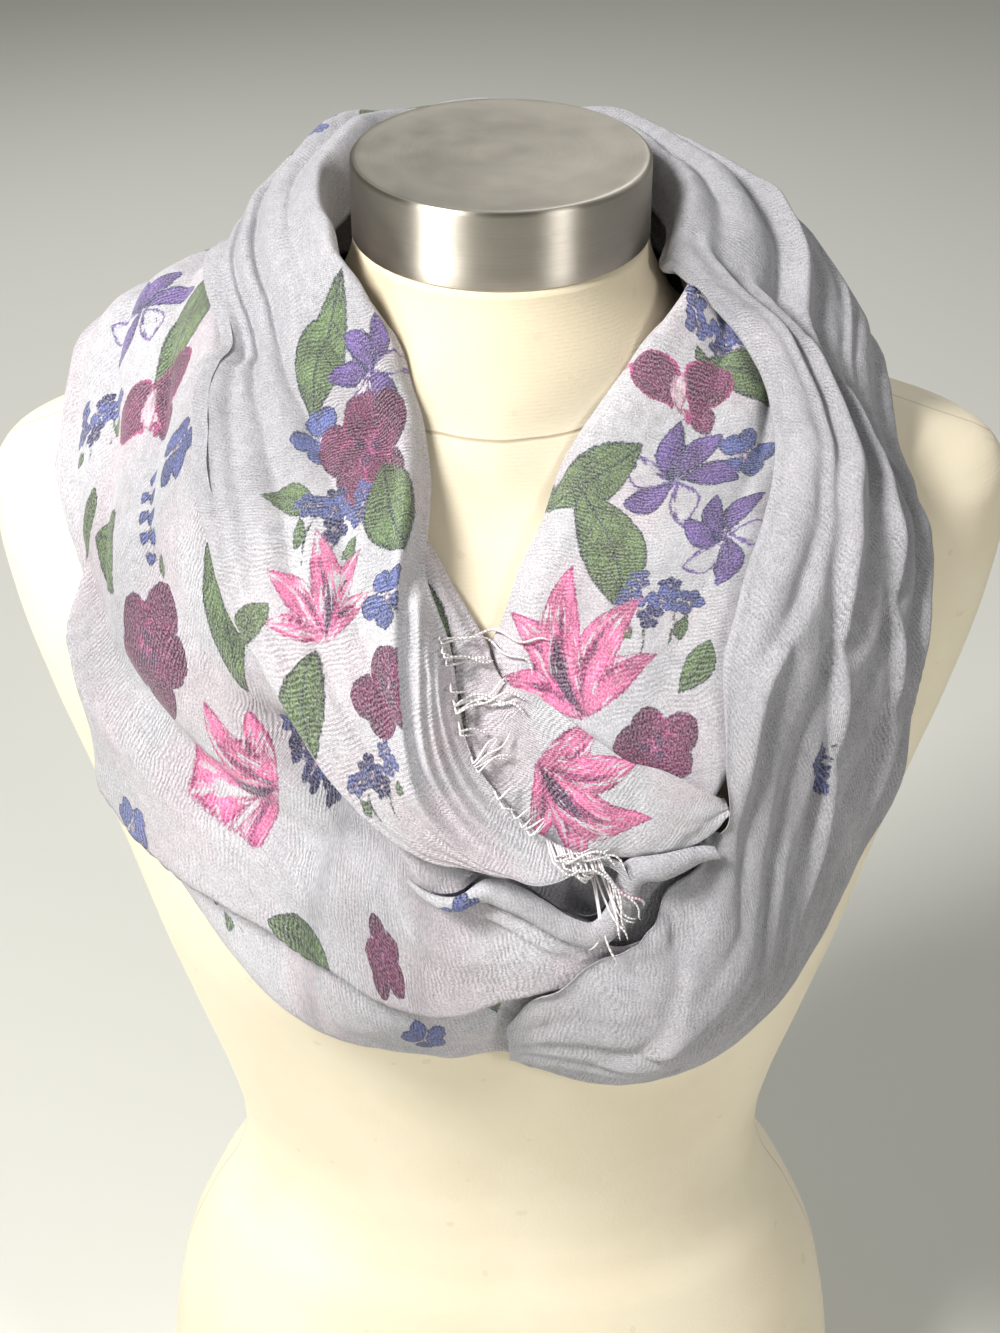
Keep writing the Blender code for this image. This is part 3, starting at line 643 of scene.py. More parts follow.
def mesh_object(name, points, faces):
    """A smooth-shaded piece from points in millimetres."""
    mesh = bpy.data.meshes.new(name)
    mesh.from_pydata((points * MM).tolist(), [], faces)
    mesh.validate()
    mesh.polygons.foreach_set("use_smooth", np.ones(len(mesh.polygons), bool))
    result = bpy.data.objects.new(name, mesh)
    bpy.context.scene.collection.objects.link(result)
    return result


def grid_faces(rows, columns, closed=False):
    """Quads between the rows and columns of a grid of points."""
    i, j = np.meshgrid(np.arange(rows - 1), np.arange(columns if closed else columns - 1), indexing="ij")
    here = i * columns + j
    beside = i * columns + (j + 1) % columns
    return np.stack([here, beside, beside + columns, here + columns], axis=-1).reshape(-1, 4).tolist()


def closed_faces(rows, sides):
    """Quads between rings of points, and one face at each end."""
    faces = grid_faces(rows, sides, closed=True)
    faces.append(list(range(sides))[::-1])
    faces.append([k + (rows - 1) * sides for k in range(sides)])
    return faces


def add_value(item, name, values):
    """A value at each point of a mesh: one number, or three."""
    values = np.asarray(values, np.float32)
    if values.ndim == 1:
        item.data.attributes.new(name, "FLOAT", "POINT").data.foreach_set("value", values)
    else:
        item.data.attributes.new(name, "FLOAT_VECTOR", "POINT").data.foreach_set("vector", values.ravel())


def hemmed(sheet):
    """The sheet's grids with both long edges turned under."""
    columns = {key: [] for key in ("azimuth", "tilt", "reach", "x", "y")}

    def add(edge, inner, aside, drop):
        """One column beside an edge: aside in millimetres beyond it, and drop below it."""
        share = aside / sheet["width"][:, edge] * (sheet["v"].shape[1] - 1)
        for key in columns:
            grid = sheet[key]
            value = grid[:, edge] + (grid[:, edge] - grid[:, inner]) * share
            if key == "reach":
                value = grid[:, edge] - drop
            columns[key].append(value)

    def turned(edge, inner, steps):
        """The columns of one edge, round its fold and a little way back under it."""
        rounding = np.clip((sheet["reach"][:, edge] - sheet["floor"][:, edge]) / 2, 0.2, EDGE_ROUND)
        for step in steps:
            if step > EDGE_STEPS:
                add(edge, inner, -HEM_UNDER * np.ones_like(rounding), 2 * rounding)
            else:
                angle = math.pi * step / EDGE_STEPS
                add(edge, inner, rounding * math.sin(angle), rounding * (1 - math.cos(angle)))

    turned(0, 1, range(EDGE_STEPS + 1, 0, -1))
    for j in range(sheet["reach"].shape[1]):
        for key in columns:
            columns[key].append(sheet[key][:, j])
    turned(-1, -2, range(1, EDGE_STEPS + 2))
    return {key: np.stack(value, axis=1) for key, value in columns.items()}


def add_cloth(name, points, x, y, tone):
    """A cloth piece. Its flat place is kept at each point, and how grey the cloth is there."""
    rows, columns = x.shape
    result = mesh_object(name, points.reshape(-1, 3), grid_faces(rows, columns))
    flat = np.stack([x, y, np.zeros_like(x)], axis=-1).reshape(-1, 3)
    add_value(result, "tone", tone.reshape(-1))
    add_value(result, "cloth", flat)
    return result


def rolled(sheet):
    """A rolled hem along the middle of a narrow sheet: its points, and how far round the roll each lies."""
    middle = sheet["points"].shape[1] // 2
    share = np.linspace(0, 1, len(sheet["points"]))[:, None]
    radius = ROLL_RADIUS * (0.15 + 0.85 * eased(share / 0.3)) * (0.55 + 0.45 * eased((1 - share) / 0.2))
    azimuth, tilt = sheet["azimuth"][:, middle], sheet["tilt"][:, middle]
    sunk = sheet["floor"][:, middle] + radius[:, 0] * 0.2
    stands = np.maximum(sheet["reach"][:, middle] - radius[:, 0] * ROLL_SEAT, sunk)
    reach = sunk + (stands - sunk) * eased(share[:, 0] / 0.3)
    centre = from_core(azimuth, tilt, reach)
    up = from_core(azimuth, tilt, reach + 1) - centre
    centre = softened(centre, 40, 0)
    ahead = np.gradient(centre, axis=0)
    ahead = ahead / np.linalg.norm(ahead, axis=1)[:, None]
    side = np.cross(ahead, up)
    angles = np.radians(np.linspace(ROLL_FROM, ROLL_TO, ROLL_COLUMNS))[None, :, None]
    ripple = 1 + 0.1 * noise(share * 9, angles[..., 0] * 0.8, 4)[..., None]
    out = radius[:, None] * ripple
    points = centre[:, None] + out * (np.cos(angles) * side[:, None] + np.sin(angles) * up[:, None])
    around = np.broadcast_to(angles[..., 0] * ROLL_RADIUS, points.shape[:2])
    columns = np.broadcast_to(np.linspace(0, 1, ROLL_COLUMNS), points.shape[:2])
    x = np.broadcast_to(sheet["x"][:, :1], points.shape[:2])
    return {"points": points, "x": x, "y": around, "v": columns,
            "station": np.broadcast_to(sheet["station"][:, :1], points.shape[:2]),
            "width": np.full(points.shape[:2], around[0, -1] - around[0, 0])}


def add_form():
    """The torso and neck, closed flat at the hips and at the top of the neck."""
    levels = np.concatenate([[0, 0.6, 1.6], np.arange(HIP_ROUND, NECK_TOP - 1, FORM_STEP), [NECK_TOP]])
    turns = np.linspace(0, 2 * math.pi, FORM_SIDES, endpoint=False)[None, :]
    half, front, back, square = [value[:, None] for value in form_ring(levels)]
    rounding = HIP_ROUND - np.sqrt(np.maximum(HIP_ROUND**2 - np.maximum(HIP_ROUND - levels, 0) ** 2, 0))
    side = np.sin(turns)
    ahead = np.cos(turns)
    x = (half - rounding[:, None]) * np.sign(side) * np.abs(side) ** (2 / square)
    depth = np.where(ahead > 0, front, back) - rounding[:, None]
    y = -depth * np.sign(ahead) * np.abs(ahead) ** (2 / square)
    y = np.where(ahead > 0, y * (1 + bust(x, levels[:, None]) / depth), y)
    z = np.broadcast_to(levels[:, None], x.shape)
    points = np.stack([x, y, z], axis=-1).reshape(-1, 3)
    return mesh_object("form_cover", points, closed_faces(len(levels), FORM_SIDES))


def turned_object(name, profile):
    """A closed turned shape from its profile of radius and height."""
    profile = np.array(profile, float)
    turns = np.linspace(0, 2 * math.pi, CAP_STEPS, endpoint=False)[None, :]
    x = profile[:, :1] * np.sin(turns)
    y = -profile[:, :1] * np.cos(turns)
    z = np.broadcast_to(profile[:, 1:], x.shape)
    points = np.stack([x, y, z], axis=-1).reshape(-1, 3)
    return mesh_object(name, points, closed_faces(len(profile), CAP_STEPS))


def add_cap():
    """The turned metal cap, with a rounded rim and a slightly dished top."""
    profile = [(CAP_RADIUS - 1.4, CAP_BOTTOM), (CAP_RADIUS - 0.4, CAP_BOTTOM + 0.05)]
    profile += [(CAP_RADIUS, CAP_BOTTOM + 0.5), (CAP_RADIUS, CAP_BOTTOM + 6), (CAP_RADIUS, CAP_TOP - 8)]
    for k in range(CAP_RIM_STEPS + 1):
        angle = math.radians(90 * k / CAP_RIM_STEPS)
        out = CAP_RADIUS - CAP_RIM * (1 - math.cos(angle))
        profile.append((out, CAP_TOP - CAP_RIM * (1 - math.sin(angle))))
    profile += [(CAP_RADIUS - 4, CAP_TOP - 0.1), (CAP_RADIUS - 9, CAP_TOP - 0.35)]
    profile += [(CAP_RADIUS - 20, CAP_TOP - 0.5), (CAP_RADIUS - 36, CAP_TOP - 0.5), (4, CAP_TOP - 0.5)]
    return turned_object("neck_cap_steel", profile)


# Threads of the frayed end. Columns: first and last station along the raw edge, number of threads, shortest
# and longest, direction at the root (0 leads to the viewer's right, 90 straight down), and how fast they curl
FRINGE = [
    (2.615, 2.63, 2, 30, 42, -16, 2.4),
    (2.63, 2.66, 3, 14, 24, 34, -1.4),
    (2.68, 2.74, 4, 6, 14, 10, 1.5),
    (2.70, 2.72, 5, 20, 30, -16, 0.6),
    (2.77, 2.79, 5, 12, 20, -40, 0.8),
    (2.80, 2.88, 7, 5, 12, 0, 1.2),
    (2.90, 2.93, 7, 14, 26, 4, 1.2),
    (2.93, 2.975, 12, 18, 34, 52, 0.9),
]
THREAD_RADIUS = 0.5
THREAD_STEP = 1.3
THREAD_WAVE = 48
THREAD_WAVES = 0.42
THREAD_SIDES = 5


def thread_path(azimuth, tilt, ground, aim, length, curl, lift):
    """Points of one thread that leads off an edge and lies over what's there."""
    count = int(length / THREAD_STEP) + 2
    places = []
    phase = 7.3 * length + azimuth
    for k in range(count):
        places.append((azimuth, tilt))
        share = k / count
        aim = aim + curl * THREAD_STEP * (0.4 + share)
        ring_radius = core(azimuth)[0]
        here = read_map(ground, azimuth, tilt)
        radius = ring_radius + here * math.cos(math.radians(tilt))
        way = math.radians(aim + THREAD_WAVE * share * math.sin(THREAD_WAVES * k + phase))
        azimuth = azimuth + math.degrees(THREAD_STEP * math.cos(way) / radius)
        tilt = tilt - math.degrees(THREAD_STEP * math.sin(way) / here)
    places = np.array(places, float)
    along = np.linspace(0, 1, count)
    arch = lift * np.sin(math.pi * along**0.7)
    reach = read_map(ground, places[:, 0], places[:, 1]) + THREAD_RADIUS + 0.4 + arch
    reach = softened(np.maximum(reach, softened(reach, 3, 0)), 2, 0)
    return softened(from_core(places[:, 0], places[:, 1], reach), 2, 0)


def tube(points, radius, sides):
    """A thin tube along the points: its ring points and its faces."""
    ahead = np.gradient(points, axis=0)
    ahead = ahead / np.linalg.norm(ahead, axis=1)[:, None]
    side = np.cross(ahead, (0.3, 0.2, 1.0))
    side = side / np.linalg.norm(side, axis=1)[:, None]
    up = np.cross(side, ahead)
    turns = np.linspace(0, 2 * math.pi, sides, endpoint=False)[None, :, None]
    taper = radius * np.clip(np.linspace(len(points), 1, len(points)) / 4, 0.35, 1)[:, None, None]
    rings = points[:, None] + taper * (np.cos(turns) * side[:, None] + np.sin(turns) * up[:, None])
    return rings.reshape(-1, 3), closed_faces(len(points), sides)


def add_fringe(ground):
    """Loose threads along the raw edge of the outer turn, joined in one mesh."""
    chance = np.random.default_rng(7)
    stations = outer["station"][:, 0]
    all_points = []
    all_faces = []
    flat = []
    offset = 0
    for first, last, number, shortest, longest, aim, curl in FRINGE:
        for _ in range(number):
            i = int(np.argmin(np.abs(stations - chance.uniform(first, last))))
            heading = aim + chance.normal(0, 13)
            length = chance.uniform(shortest, longest)
            bend = curl * chance.normal(1, 0.6)
            points = thread_path(outer["azimuth"][i, 1], outer["tilt"][i, 1], ground, heading, length, bend,
                                 chance.uniform(0.5, 3.5))
            points[0] = outer["points"][i, 1]
            rings, faces = tube(points, THREAD_RADIUS * chance.uniform(0.8, 1.15), THREAD_SIDES)
            all_points.append(rings)
            all_faces += [[k + offset for k in face] for face in faces]
            steps = np.repeat(np.arange(len(points)), THREAD_SIDES) * THREAD_STEP
            aside = np.full(len(steps), len(flat) * 3.0)
            flat.append(np.stack([steps, aside, np.zeros(len(steps))], axis=-1))
            offset += len(rings)
    result = mesh_object("fringe_threads", np.concatenate(all_points), all_faces)
    add_value(result, "cloth", np.concatenate(flat))
    return result


def over(table):
    """What a turn lies on, as one map gives it."""
    return lambda azimuth, tilt, station: read_map(table, azimuth, tilt)


FORM_MAP = form_map()
fold = lay_turn("fold", over(FORM_MAP))
FOLD_MAP = np.maximum(FORM_MAP, laid_map(fold, slice(None)))
inner = lay_turn("inner", over(FOLD_MAP))
INNER_MAP = np.maximum(FOLD_MAP, laid_map(inner, slice(None)))
tail = lay_turn("tail", over(INNER_MAP))
TAIL_MAP = np.maximum(INNER_MAP, laid_map(tail, slice(None)))
# The first stretch of the outer turn lies under the rolled corner, and its last stretch over it
swag = lay_turn("outer", over(TAIL_MAP))
SWAG_MAP = np.maximum(TAIL_MAP, laid_map(swag, swag["station"][:, 0] < 1))
hem = lay_turn("hem", over(SWAG_MAP))
roll = rolled(hem)
FRONT_MAP = np.maximum(SWAG_MAP, laid_map(hem, slice(None)))


def over_all(azimuth, tilt, station):
    """What the whole outer turn lies on: its last stretch lies on all else in front."""
    return np.where(station > 2, read_map(FRONT_MAP, azimuth, tilt), read_map(TAIL_MAP, azimuth, tilt))


outer = lay_turn("outer", over_all)


# Colours as seen on a screen, 0 to 255
SCREEN = {
    "cloth": (206, 205, 211),
    "blush": (214, 200, 208),
    "ash": (176, 175, 181),
    "thread": (238, 234, 236),
    "cover": (240, 229, 205),
    # Cover colour for its random clouds, and for the painted shade on the neck
    "cover_mottle_and_shade": (216, 198, 164),
    "cover_spot": (168, 140, 104),
    "steel": (206, 199, 188),
    "floor": (214, 214, 208),
    "wall": (196, 198, 190),
    "blue": (80, 92, 152),
    "navy": (44, 46, 92),
    "violet": (104, 80, 146),
    "burgundy": (108, 44, 80),
    "magenta": (168, 56, 116),
    "plum": (84, 42, 80),
    "pink": (222, 112, 160),
    "rose": (226, 158, 184),
    "blossom": (226, 196, 208),
    "green": (94, 118, 70),
    "moss": (50, 68, 58),
}


def linear(colour, alpha=1.0):
    """A screen colour as the shader takes it."""
    share = [c / 255 for c in colour]
    return (*[c / 12.92 if c <= 0.04045 else ((c + 0.055) / 1.055) ** 2.4 for c in share], alpha)


# A motif is a table of marks, each one petal, leaf or stroke. Columns, in millimetres and degrees: place
# down and across the motif, direction (0 is down), length, width, where it is widest (1 is the middle, more
# is nearer the tip), bend, ink, ink of its rim, share of its inside that is inked, width of the rim, and
# strength of its veins.

def ring_of(count, down, across, start, sweep, length, width, widest, ink, rim_ink, fill, rim):
    """Petals round a centre."""
    result = []
    for k in range(count):
        long = length * (1 + 0.12 * math.sin(2.1 * k + down))
        bend = 0.06 * (-1) ** k
        turn = start + sweep * k / count
        result.append((down, across, turn, long, width, widest, bend, ink, rim_ink, fill, rim, 0))
    return result


def stem(down, across, turn, length):
    """A thin curved stroke."""
    return [(down, across, turn, length, 1.5, 0.8, 0.1, "moss", "moss", 1, 0.6, 0)]


def leaflet(down, across, turn, length, width, ink="green"):
    """A small leaf."""
    return [(down, across, turn, length, width, 0.85, 0.1, ink, "moss", 0.96, 0.5, 0.5)]


def bluet(down, across, size=1.0, start=20, ink="blue"):
    """A small five-petalled flower."""
    petals = ring_of(5, down, across, start, 360, 8.4 * size, 6.6 * size, 1.5, ink, "navy", 0.86, 0.4)
    return petals + [(down - 1, across, 0, 2.2 * size, 2.2 * size, 1, 0, "blossom", "navy", 1, 0.1, 0)]


def flowers(places):
    """Small flowers: down, across, size and ink."""
    marks = []
    for k, (down, across, size, ink) in enumerate(places):
        marks += bluet(down, across, size, 37 * k, ink)
    return marks


def sprig():
    """Small flowers side by side over thin stems with little leaves."""
    marks = stem(4, -9, 6, 26) + stem(2, 9, -4, 24)
    marks += leaflet(17, -12, -152, 13, 8) + leaflet(20, 15, 170, 15, 8)
    return marks + flowers([(-15, -13, 0.8, "blue"), (-12, 4, 0.75, "navy"), (-4, -15, 0.95, "blue"),
                            (-4, 2, 1.1, "blue"), (-2, 16, 1.0, "blue"), (6, -3, 0.85, "navy")])


def tight_sprig():
    """A dense spray of dark blue flowers."""
    marks = flowers([(-20, 6, 0.85, "blue"), (-13, -2, 1.0, "navy"), (-12, 11, 0.9, "blue"),
                     (-4, 4, 1.05, "blue"), (-2, -8, 0.95, "navy"), (6, -3, 1.0, "blue"),
                     (6, 9, 0.85, "blue"), (13, -10, 0.9, "navy"), (15, 3, 0.85, "blue")])
    return marks + leaflet(16, 12, 60, 11, 7, "moss") + leaflet(20, -2, 20, 10, 6, "moss")


def spike():
    """A spike of blue buds."""
    marks = stem(-2, 0, 0, 26)
    for k in range(8):
        marks += [(-20 + 5 * k, 0, 140 + 80 * (k % 2), 9, 5.4, 1, 0.1, "blue", "navy", 0.8, 0.4, 0)]
    return marks + leaflet(24, 0, 130, 10, 7)


def pea():
    """A sweet pea: broad dark upper petals and a pale keel."""
    marks = [(6, 4, 138, 28, 25, 1.35, 0.1, "burgundy", "magenta", 0.9, 1.5, 0)]
    marks += [(4, -4, 214, 28, 24, 1.35, -0.1, "burgundy", "magenta", 0.86, 1.4, 0)]
    marks += [(6, 0, 176, 19, 8, 1.2, 0.1, "blossom", "magenta", 0.9, 0.4, 0)]
    marks += [(4, 2, 42, 17, 12, 1.2, 0.2, "burgundy", "plum", 0.95, 1.0, 0)]
    return marks + [(2, 0, 20, 9, 4, 1.2, 0.2, "magenta", "magenta", 0.6, 0.4, 0)]


def rose():
    """A dark rose of nested petals."""
    marks = ring_of(5, 0, 0, 30, 360, 25, 22, 1.3, "burgundy", "plum", 0.95, 1.4)
    marks += ring_of(4, 0, 0, 70, 360, 17, 15, 1.3, "burgundy", "magenta", 0.85, 1.2)
    return marks + ring_of(3, 0, 0, 10, 360, 9, 8, 1.2, "plum", "magenta", 0.95, 0.7)


def bell():
    """A star-like bellflower, part of its petals drawn in outline."""
    petals = ((196, 25, 0.9), (250, 24, 0.12), (305, 22, 0.9), (150, 24, 0.85), (20, 22, 0.1), (92, 25, 0.9))
    marks = []
    for turn, length, fill in petals:
        rim_ink = "navy" if fill > 0.5 else "violet"
        marks.append((0, 0, turn, length, 12, 1.15, 0.14, "violet", rim_ink, fill, 1.2, 0))
    return marks + [(2, 0, 200, 12, 5, 1, 0.1, "navy", "violet", 0.9, 0.5, 0)]


def lily():
    """A large lily: long broad petals with dark lines."""
    marks = []
    for turn, length, width in ((120, 44, 18), (244, 44, 18), (148, 62, 22), (216, 60, 21), (180, 72, 25)):
        bend = 0.1 if turn < 182 else -0.1
        marks.append((28, 0, turn, length, width * 0.86, 1.0, bend, "pink", "magenta", 0.66, 0.8, 0))
        marks.append((24, 0, turn + 4, length * 0.7, 4.4, 0.7, bend, "magenta", "plum", 0.9, 0.8, 0))
    return marks + [(28, 2, 196, 40, 9, 1.1, 0.1, "plum", "magenta", 0.7, 0.8, 0)]


MOTIFS = {
    "sprig": sprig(), "tight_sprig": tight_sprig(), "spike": spike(), "bluet": bluet(0, 0, 1.3),
    "pea": pea(), "rose": rose(), "bell": bell(), "lily": lily(),
    "leaf": [(-22, 0, 0, 46, 22, 0.9, 0.1, "green", "moss", 0.94, 1.2, 0.9)],
    "small_leaf": leaflet(-11, 0, 0, 23, 12),
}

# Where the print lies. Columns: cloth, motif, station, share of the width, direction from the cloth's
# length, and scale down and across
PRINT = [
    ("outer", "leaf", 2.15, 0.30, 40, 1.0, 0.9),
    ("outer", "bell", 2.21, 0.16, 20, 0.8, 0.8),
    ("outer", "bluet", 2.25, 0.46, 0, 1.0, 1.0),
    ("outer", "rose", 2.31, 0.26, 10, 0.8, 0.75),
    ("outer", "small_leaf", 2.36, 0.64, 120, 1.0, 1.0),
    ("outer", "sprig", 2.40, 0.46, 30, 0.7, 0.75),
    ("outer", "leaf", 2.42, 0.12, -20, 1.0, 1.0),
    ("outer", "lily", 2.49, 0.58, 8, 0.6, 0.55),
    ("outer", "small_leaf", 2.49, 0.90, 60, 1.0, 1.0),
    ("outer", "bluet", 2.53, 0.20, 0, 1.0, 1.0),
    ("outer", "leaf", 2.58, 0.82, 30, 0.9, 0.9),
    ("outer", "rose", 2.62, 0.36, 12, 0.7, 0.65),
    ("outer", "sprig", 2.68, 0.72, 20, 0.6, 0.6),
    ("inner", "bell", 0.90, 0.46, 180, 0.9, 0.9),
    ("inner", "leaf", 0.85, 0.28, 150, 1.1, 1.0),
    ("inner", "sprig", 0.83, 0.68, 176, 0.6, 0.7),
    ("inner", "pea", 0.765, 0.38, 180, 0.9, 0.9),
    ("inner", "small_leaf", 0.755, 0.74, 140, 1.0, 1.0),
    ("inner", "leaf", 0.68, 0.60, 210, 1.1, 1.0),
    ("inner", "bluet", 0.67, 0.20, 170, 1.0, 1.0),
    ("inner", "spike", 0.63, 0.34, 180, 0.8, 0.8),
    ("inner", "rose", 0.55, 0.48, 180, 0.95, 0.9),
    ("inner", "bluet", 0.51, 0.80, 150, 1.0, 1.0),
    ("inner", "leaf", 0.49, 0.20, 160, 1.2, 1.1),
    ("inner", "lily", 0.42, 0.54, 200, 0.7, 0.75),
    ("inner", "sprig", 0.41, 0.84, 150, 0.6, 0.7),
    ("inner", "tight_sprig", 0.36, 0.32, 200, 0.7, 0.8),
    ("inner", "leaf", 0.32, 0.68, 190, 1.0, 0.9),
    ("inner", "rose", 0.24, 0.46, 214, 0.65, 0.55),
    ("inner", "bluet", 0.20, 0.74, 130, 1.0, 1.0),
    ("inner", "small_leaf", 0.14, 0.55, 120, 1.0, 0.8),
    ("inner", "sprig", 2.16, 0.40, 20, 0.8, 0.8),
    ("inner", "leaf", 2.22, 0.60, 80, 0.9, 0.9),
    ("inner", "pea", 2.29, 0.28, 30, 0.85, 0.85),
    ("inner", "bluet", 2.34, 0.66, 20, 1.0, 1.0),
    ("inner", "bell", 2.42, 0.44, 10, 0.95, 0.9),
    ("inner", "leaf", 2.46, 0.10, -30, 1.0, 0.9),
    ("inner", "bell", 2.52, 0.72, 60, 0.85, 0.85),
    ("inner", "leaf", 2.58, 0.26, 40, 1.2, 1.1),
    ("inner", "sprig", 2.65, 0.56, 10, 0.7, 0.7),
    ("inner", "lily", 2.74, 0.32, 20, 0.85, 0.8),
    ("inner", "small_leaf", 2.73, 0.74, -20, 1.0, 1.0),
    ("inner", "rose", 2.84, 0.66, 30, 0.7, 0.7),
    ("tail", "leaf", 0.20, 0.40, 0, 1.0, 1.0),
    ("tail", "small_leaf", 0.40, 0.60, 30, 1.0, 0.9),
    ("tail", "lily", 0.66, 0.45, 180, 0.8, 0.8),
    ("hem", "bluet", 0.16, 0.55, 0, 0.8, 0.9),
    ("outer", "sprig", 0.40, 0.52, 30, 0.6, 0.6),
    ("outer", "sprig", 1.7, 0.5, 90, 0.8, 0.8),
    ("outer", "pea", 1.5, 0.6, 20, 0.8, 0.8),
    ("outer", "leaf", 1.6, 0.35, 160, 1.0, 1.0),
    ("inner", "sprig", 1.25, 0.7, 90, 0.8, 0.8),
    ("inner", "leaf", 1.1, 0.5, 20, 1.1, 1.1),
    ("inner", "bell", 1.5, 0.75, 0, 0.9, 0.9),
]


def petal_field(a, b, mark):
    """Signed distance to a petal's outline, and the places along and across it."""
    along, across, turn, length, width, widest, bend = mark[:7]
    angle = math.radians(turn)
    u = (a - along) * math.cos(angle) + (b - across) * math.sin(angle)
    w = (b - across) * math.cos(angle) - (a - along) * math.sin(angle)
    t = np.clip(u / length, 0, 1)
    w = w - bend * length * 4 * t * (1 - t)
    roundness = 0.55 * np.clip((widest - 1.05) / 0.25, 0, 1)
    half = width / 2 * np.maximum(np.sin(math.pi * t**widest), 0) ** (1 - roundness * t)
    beyond = np.maximum(np.maximum(-u, u - length), 0)
    side = np.abs(w) - half
    distance = np.where(beyond > 0, np.hypot(beyond, np.maximum(side, 0)), side * 0.85)
    return distance, u, w


def printed(sheet, name):
    """The print at each point of a sheet: outline distance, place in the mark, inks and how they fill it."""
    points = sheet["points"]
    x_scale = np.linalg.norm(np.gradient(points, axis=0), axis=-1) / np.gradient(sheet["x"], axis=0)
    y_scale = np.linalg.norm(np.gradient(points, axis=1), axis=-1) / np.gradient(sheet["y"], axis=1)
    shape = sheet["x"].shape
    field = {key: np.zeros((*shape, 3)) for key in ("mark", "ink", "rim_ink", "brush")}
    field["mark"][..., 0] = BARE
    for turn, motif, station, v, direction, down, across in PRINT:
        if turn != name:
            continue
        i = int(np.argmin(np.abs(sheet["station"][:, 0] - station)))
        j = int(np.clip(round(v * (shape[1] - 1)), 1, shape[1] - 2))
        near = np.abs(sheet["x"] - sheet["x"][i, j]) < MOTIF_REACH
        beyond = beyond_fold(name, sheet, i, j)[near]
        dx = (sheet["x"] - sheet["x"][i, j])[near] * np.median(x_scale[max(i - 9, 0):i + 10, j])
        dy = ((sheet["v"] - v) * sheet["width"])[near] * np.median(y_scale[i, max(j - 9, 0):j + 10])
        angle = math.radians(direction)
        a = (dx * math.cos(angle) + dy * math.sin(angle)) / down
        b = (dy * math.cos(angle) - dx * math.sin(angle)) / across
        size = math.sqrt(down * across)
        picked = {key: value[near] for key, value in field.items()}
        for mark in MOTIFS[motif]:
            ink, rim_ink, fill, rim, veins = mark[7:]
            distance, u, w = petal_field(a, b, mark)
            distance = np.maximum(distance * size, beyond)
            take = (distance < 0) | ((distance < picked["mark"][:, 0]) & (picked["mark"][:, 0] > 0))
            picked["mark"][take] = np.stack([distance, u * size, w * size], axis=-1)[take]
            picked["ink"][take] = linear(SCREEN[ink])[:3]
            picked["rim_ink"][take] = linear(SCREEN[rim_ink])[:3]
            picked["brush"][take] = (fill, rim * size, veins)
        for key, value in field.items():
            value[near] = picked[key]
    return field


class Shader:
    """A short way to make the nodes of one material."""

    def __init__(self, name):
        self.material = bpy.data.materials.new(name)
        self.material.use_nodes = True
        self.tree = self.material.node_tree
        self.surface = self.tree.nodes["Principled BSDF"]

    def put(self, socket, value):
        """Links a socket to another node's output, or sets its number."""
        if isinstance(value, bpy.types.NodeSocket):
            self.tree.links.new(value, socket)
        else:
            socket.default_value = value

    def node(self, kind, settings=(), **inputs):
        """A node with its settings and inputs."""
        result = self.tree.nodes.new(kind)
        for key, value in dict(settings).items():
            setattr(result, key, value)
        for key, value in inputs.items():
            self.put(result.inputs[key.replace("_", " ")], value)
        return result

    def place(self):
        """The point's own place, in millimetres."""
        place = self.node("ShaderNodeTexCoord").outputs["Object"]
        return self.node("ShaderNodeMapping", Vector=place, Scale=(1 / MM, 1 / MM, 1 / MM)).outputs[0]

    def finish(self, colour, normal, **numbers):
        """Links the colour and the bump, and sets the shader's own numbers."""
        self.put(self.surface.inputs["Base Color"], colour)
        self.put(self.surface.inputs["Normal"], normal)
        for key, number in numbers.items():
            self.surface.inputs[key.replace("_", " ")].default_value = number
        return self.material

    def value(self, name):
        """A value that the mesh keeps at each point."""
        return self.node("ShaderNodeAttribute", {"attribute_name": name})

    def maths(self, operation, *values):
        """One arithmetic step on numbers or outputs."""
        result = self.tree.nodes.new("ShaderNodeMath")
        result.operation = operation
        for socket, value in zip(result.inputs, values):
            self.put(socket, value)
        return result.outputs[0]

    def blend(self, share, first, second, mode="MIX"):
        """Two colours mixed."""
        result = self.tree.nodes.new("ShaderNodeMix")
        result.data_type = "RGBA"
        result.blend_type = mode
        self.put(result.inputs["Factor"], share)
        self.put(result.inputs["A"], first)
        self.put(result.inputs["B"], second)
        return result.outputs["Result"]

    def noise(self, vector, scale, detail=2.0, roughness=0.5):
        """Soft noise from 0 to 1."""
        return self.node("ShaderNodeTexNoise", Vector=vector, Scale=scale, Detail=detail,
                         Roughness=roughness).outputs["Fac"]

    def times(self, first, second):
        """One number times another."""
        return self.maths("MULTIPLY", first, second)

    def plus(self, first, second):
        """One number and another."""
        return self.maths("ADD", first, second)

    def scaled(self, number, factor, added):
        """A number times a factor, and one more number added."""
        return self.maths("MULTIPLY_ADD", number, factor, added)

    def shaded(self, colour, shade):
        """The colour times one number."""
        grey = self.node("ShaderNodeCombineXYZ", X=shade, Y=shade, Z=shade).outputs[0]
        return self.blend(1.0, colour, grey, "MULTIPLY")

    def ramp(self, value, low, high, out_low=0.0, out_high=1.0):
        """Runs smoothly from one number to another while the value goes from low to high."""
        result = self.node("ShaderNodeMapRange", {"interpolation_type": "SMOOTHSTEP"})
        for key, item in (("Value", value), ("From Min", low), ("From Max", high),
                          ("To Min", out_low), ("To Max", out_high)):
            self.put(result.inputs[key], item)
        return result.outputs[0]


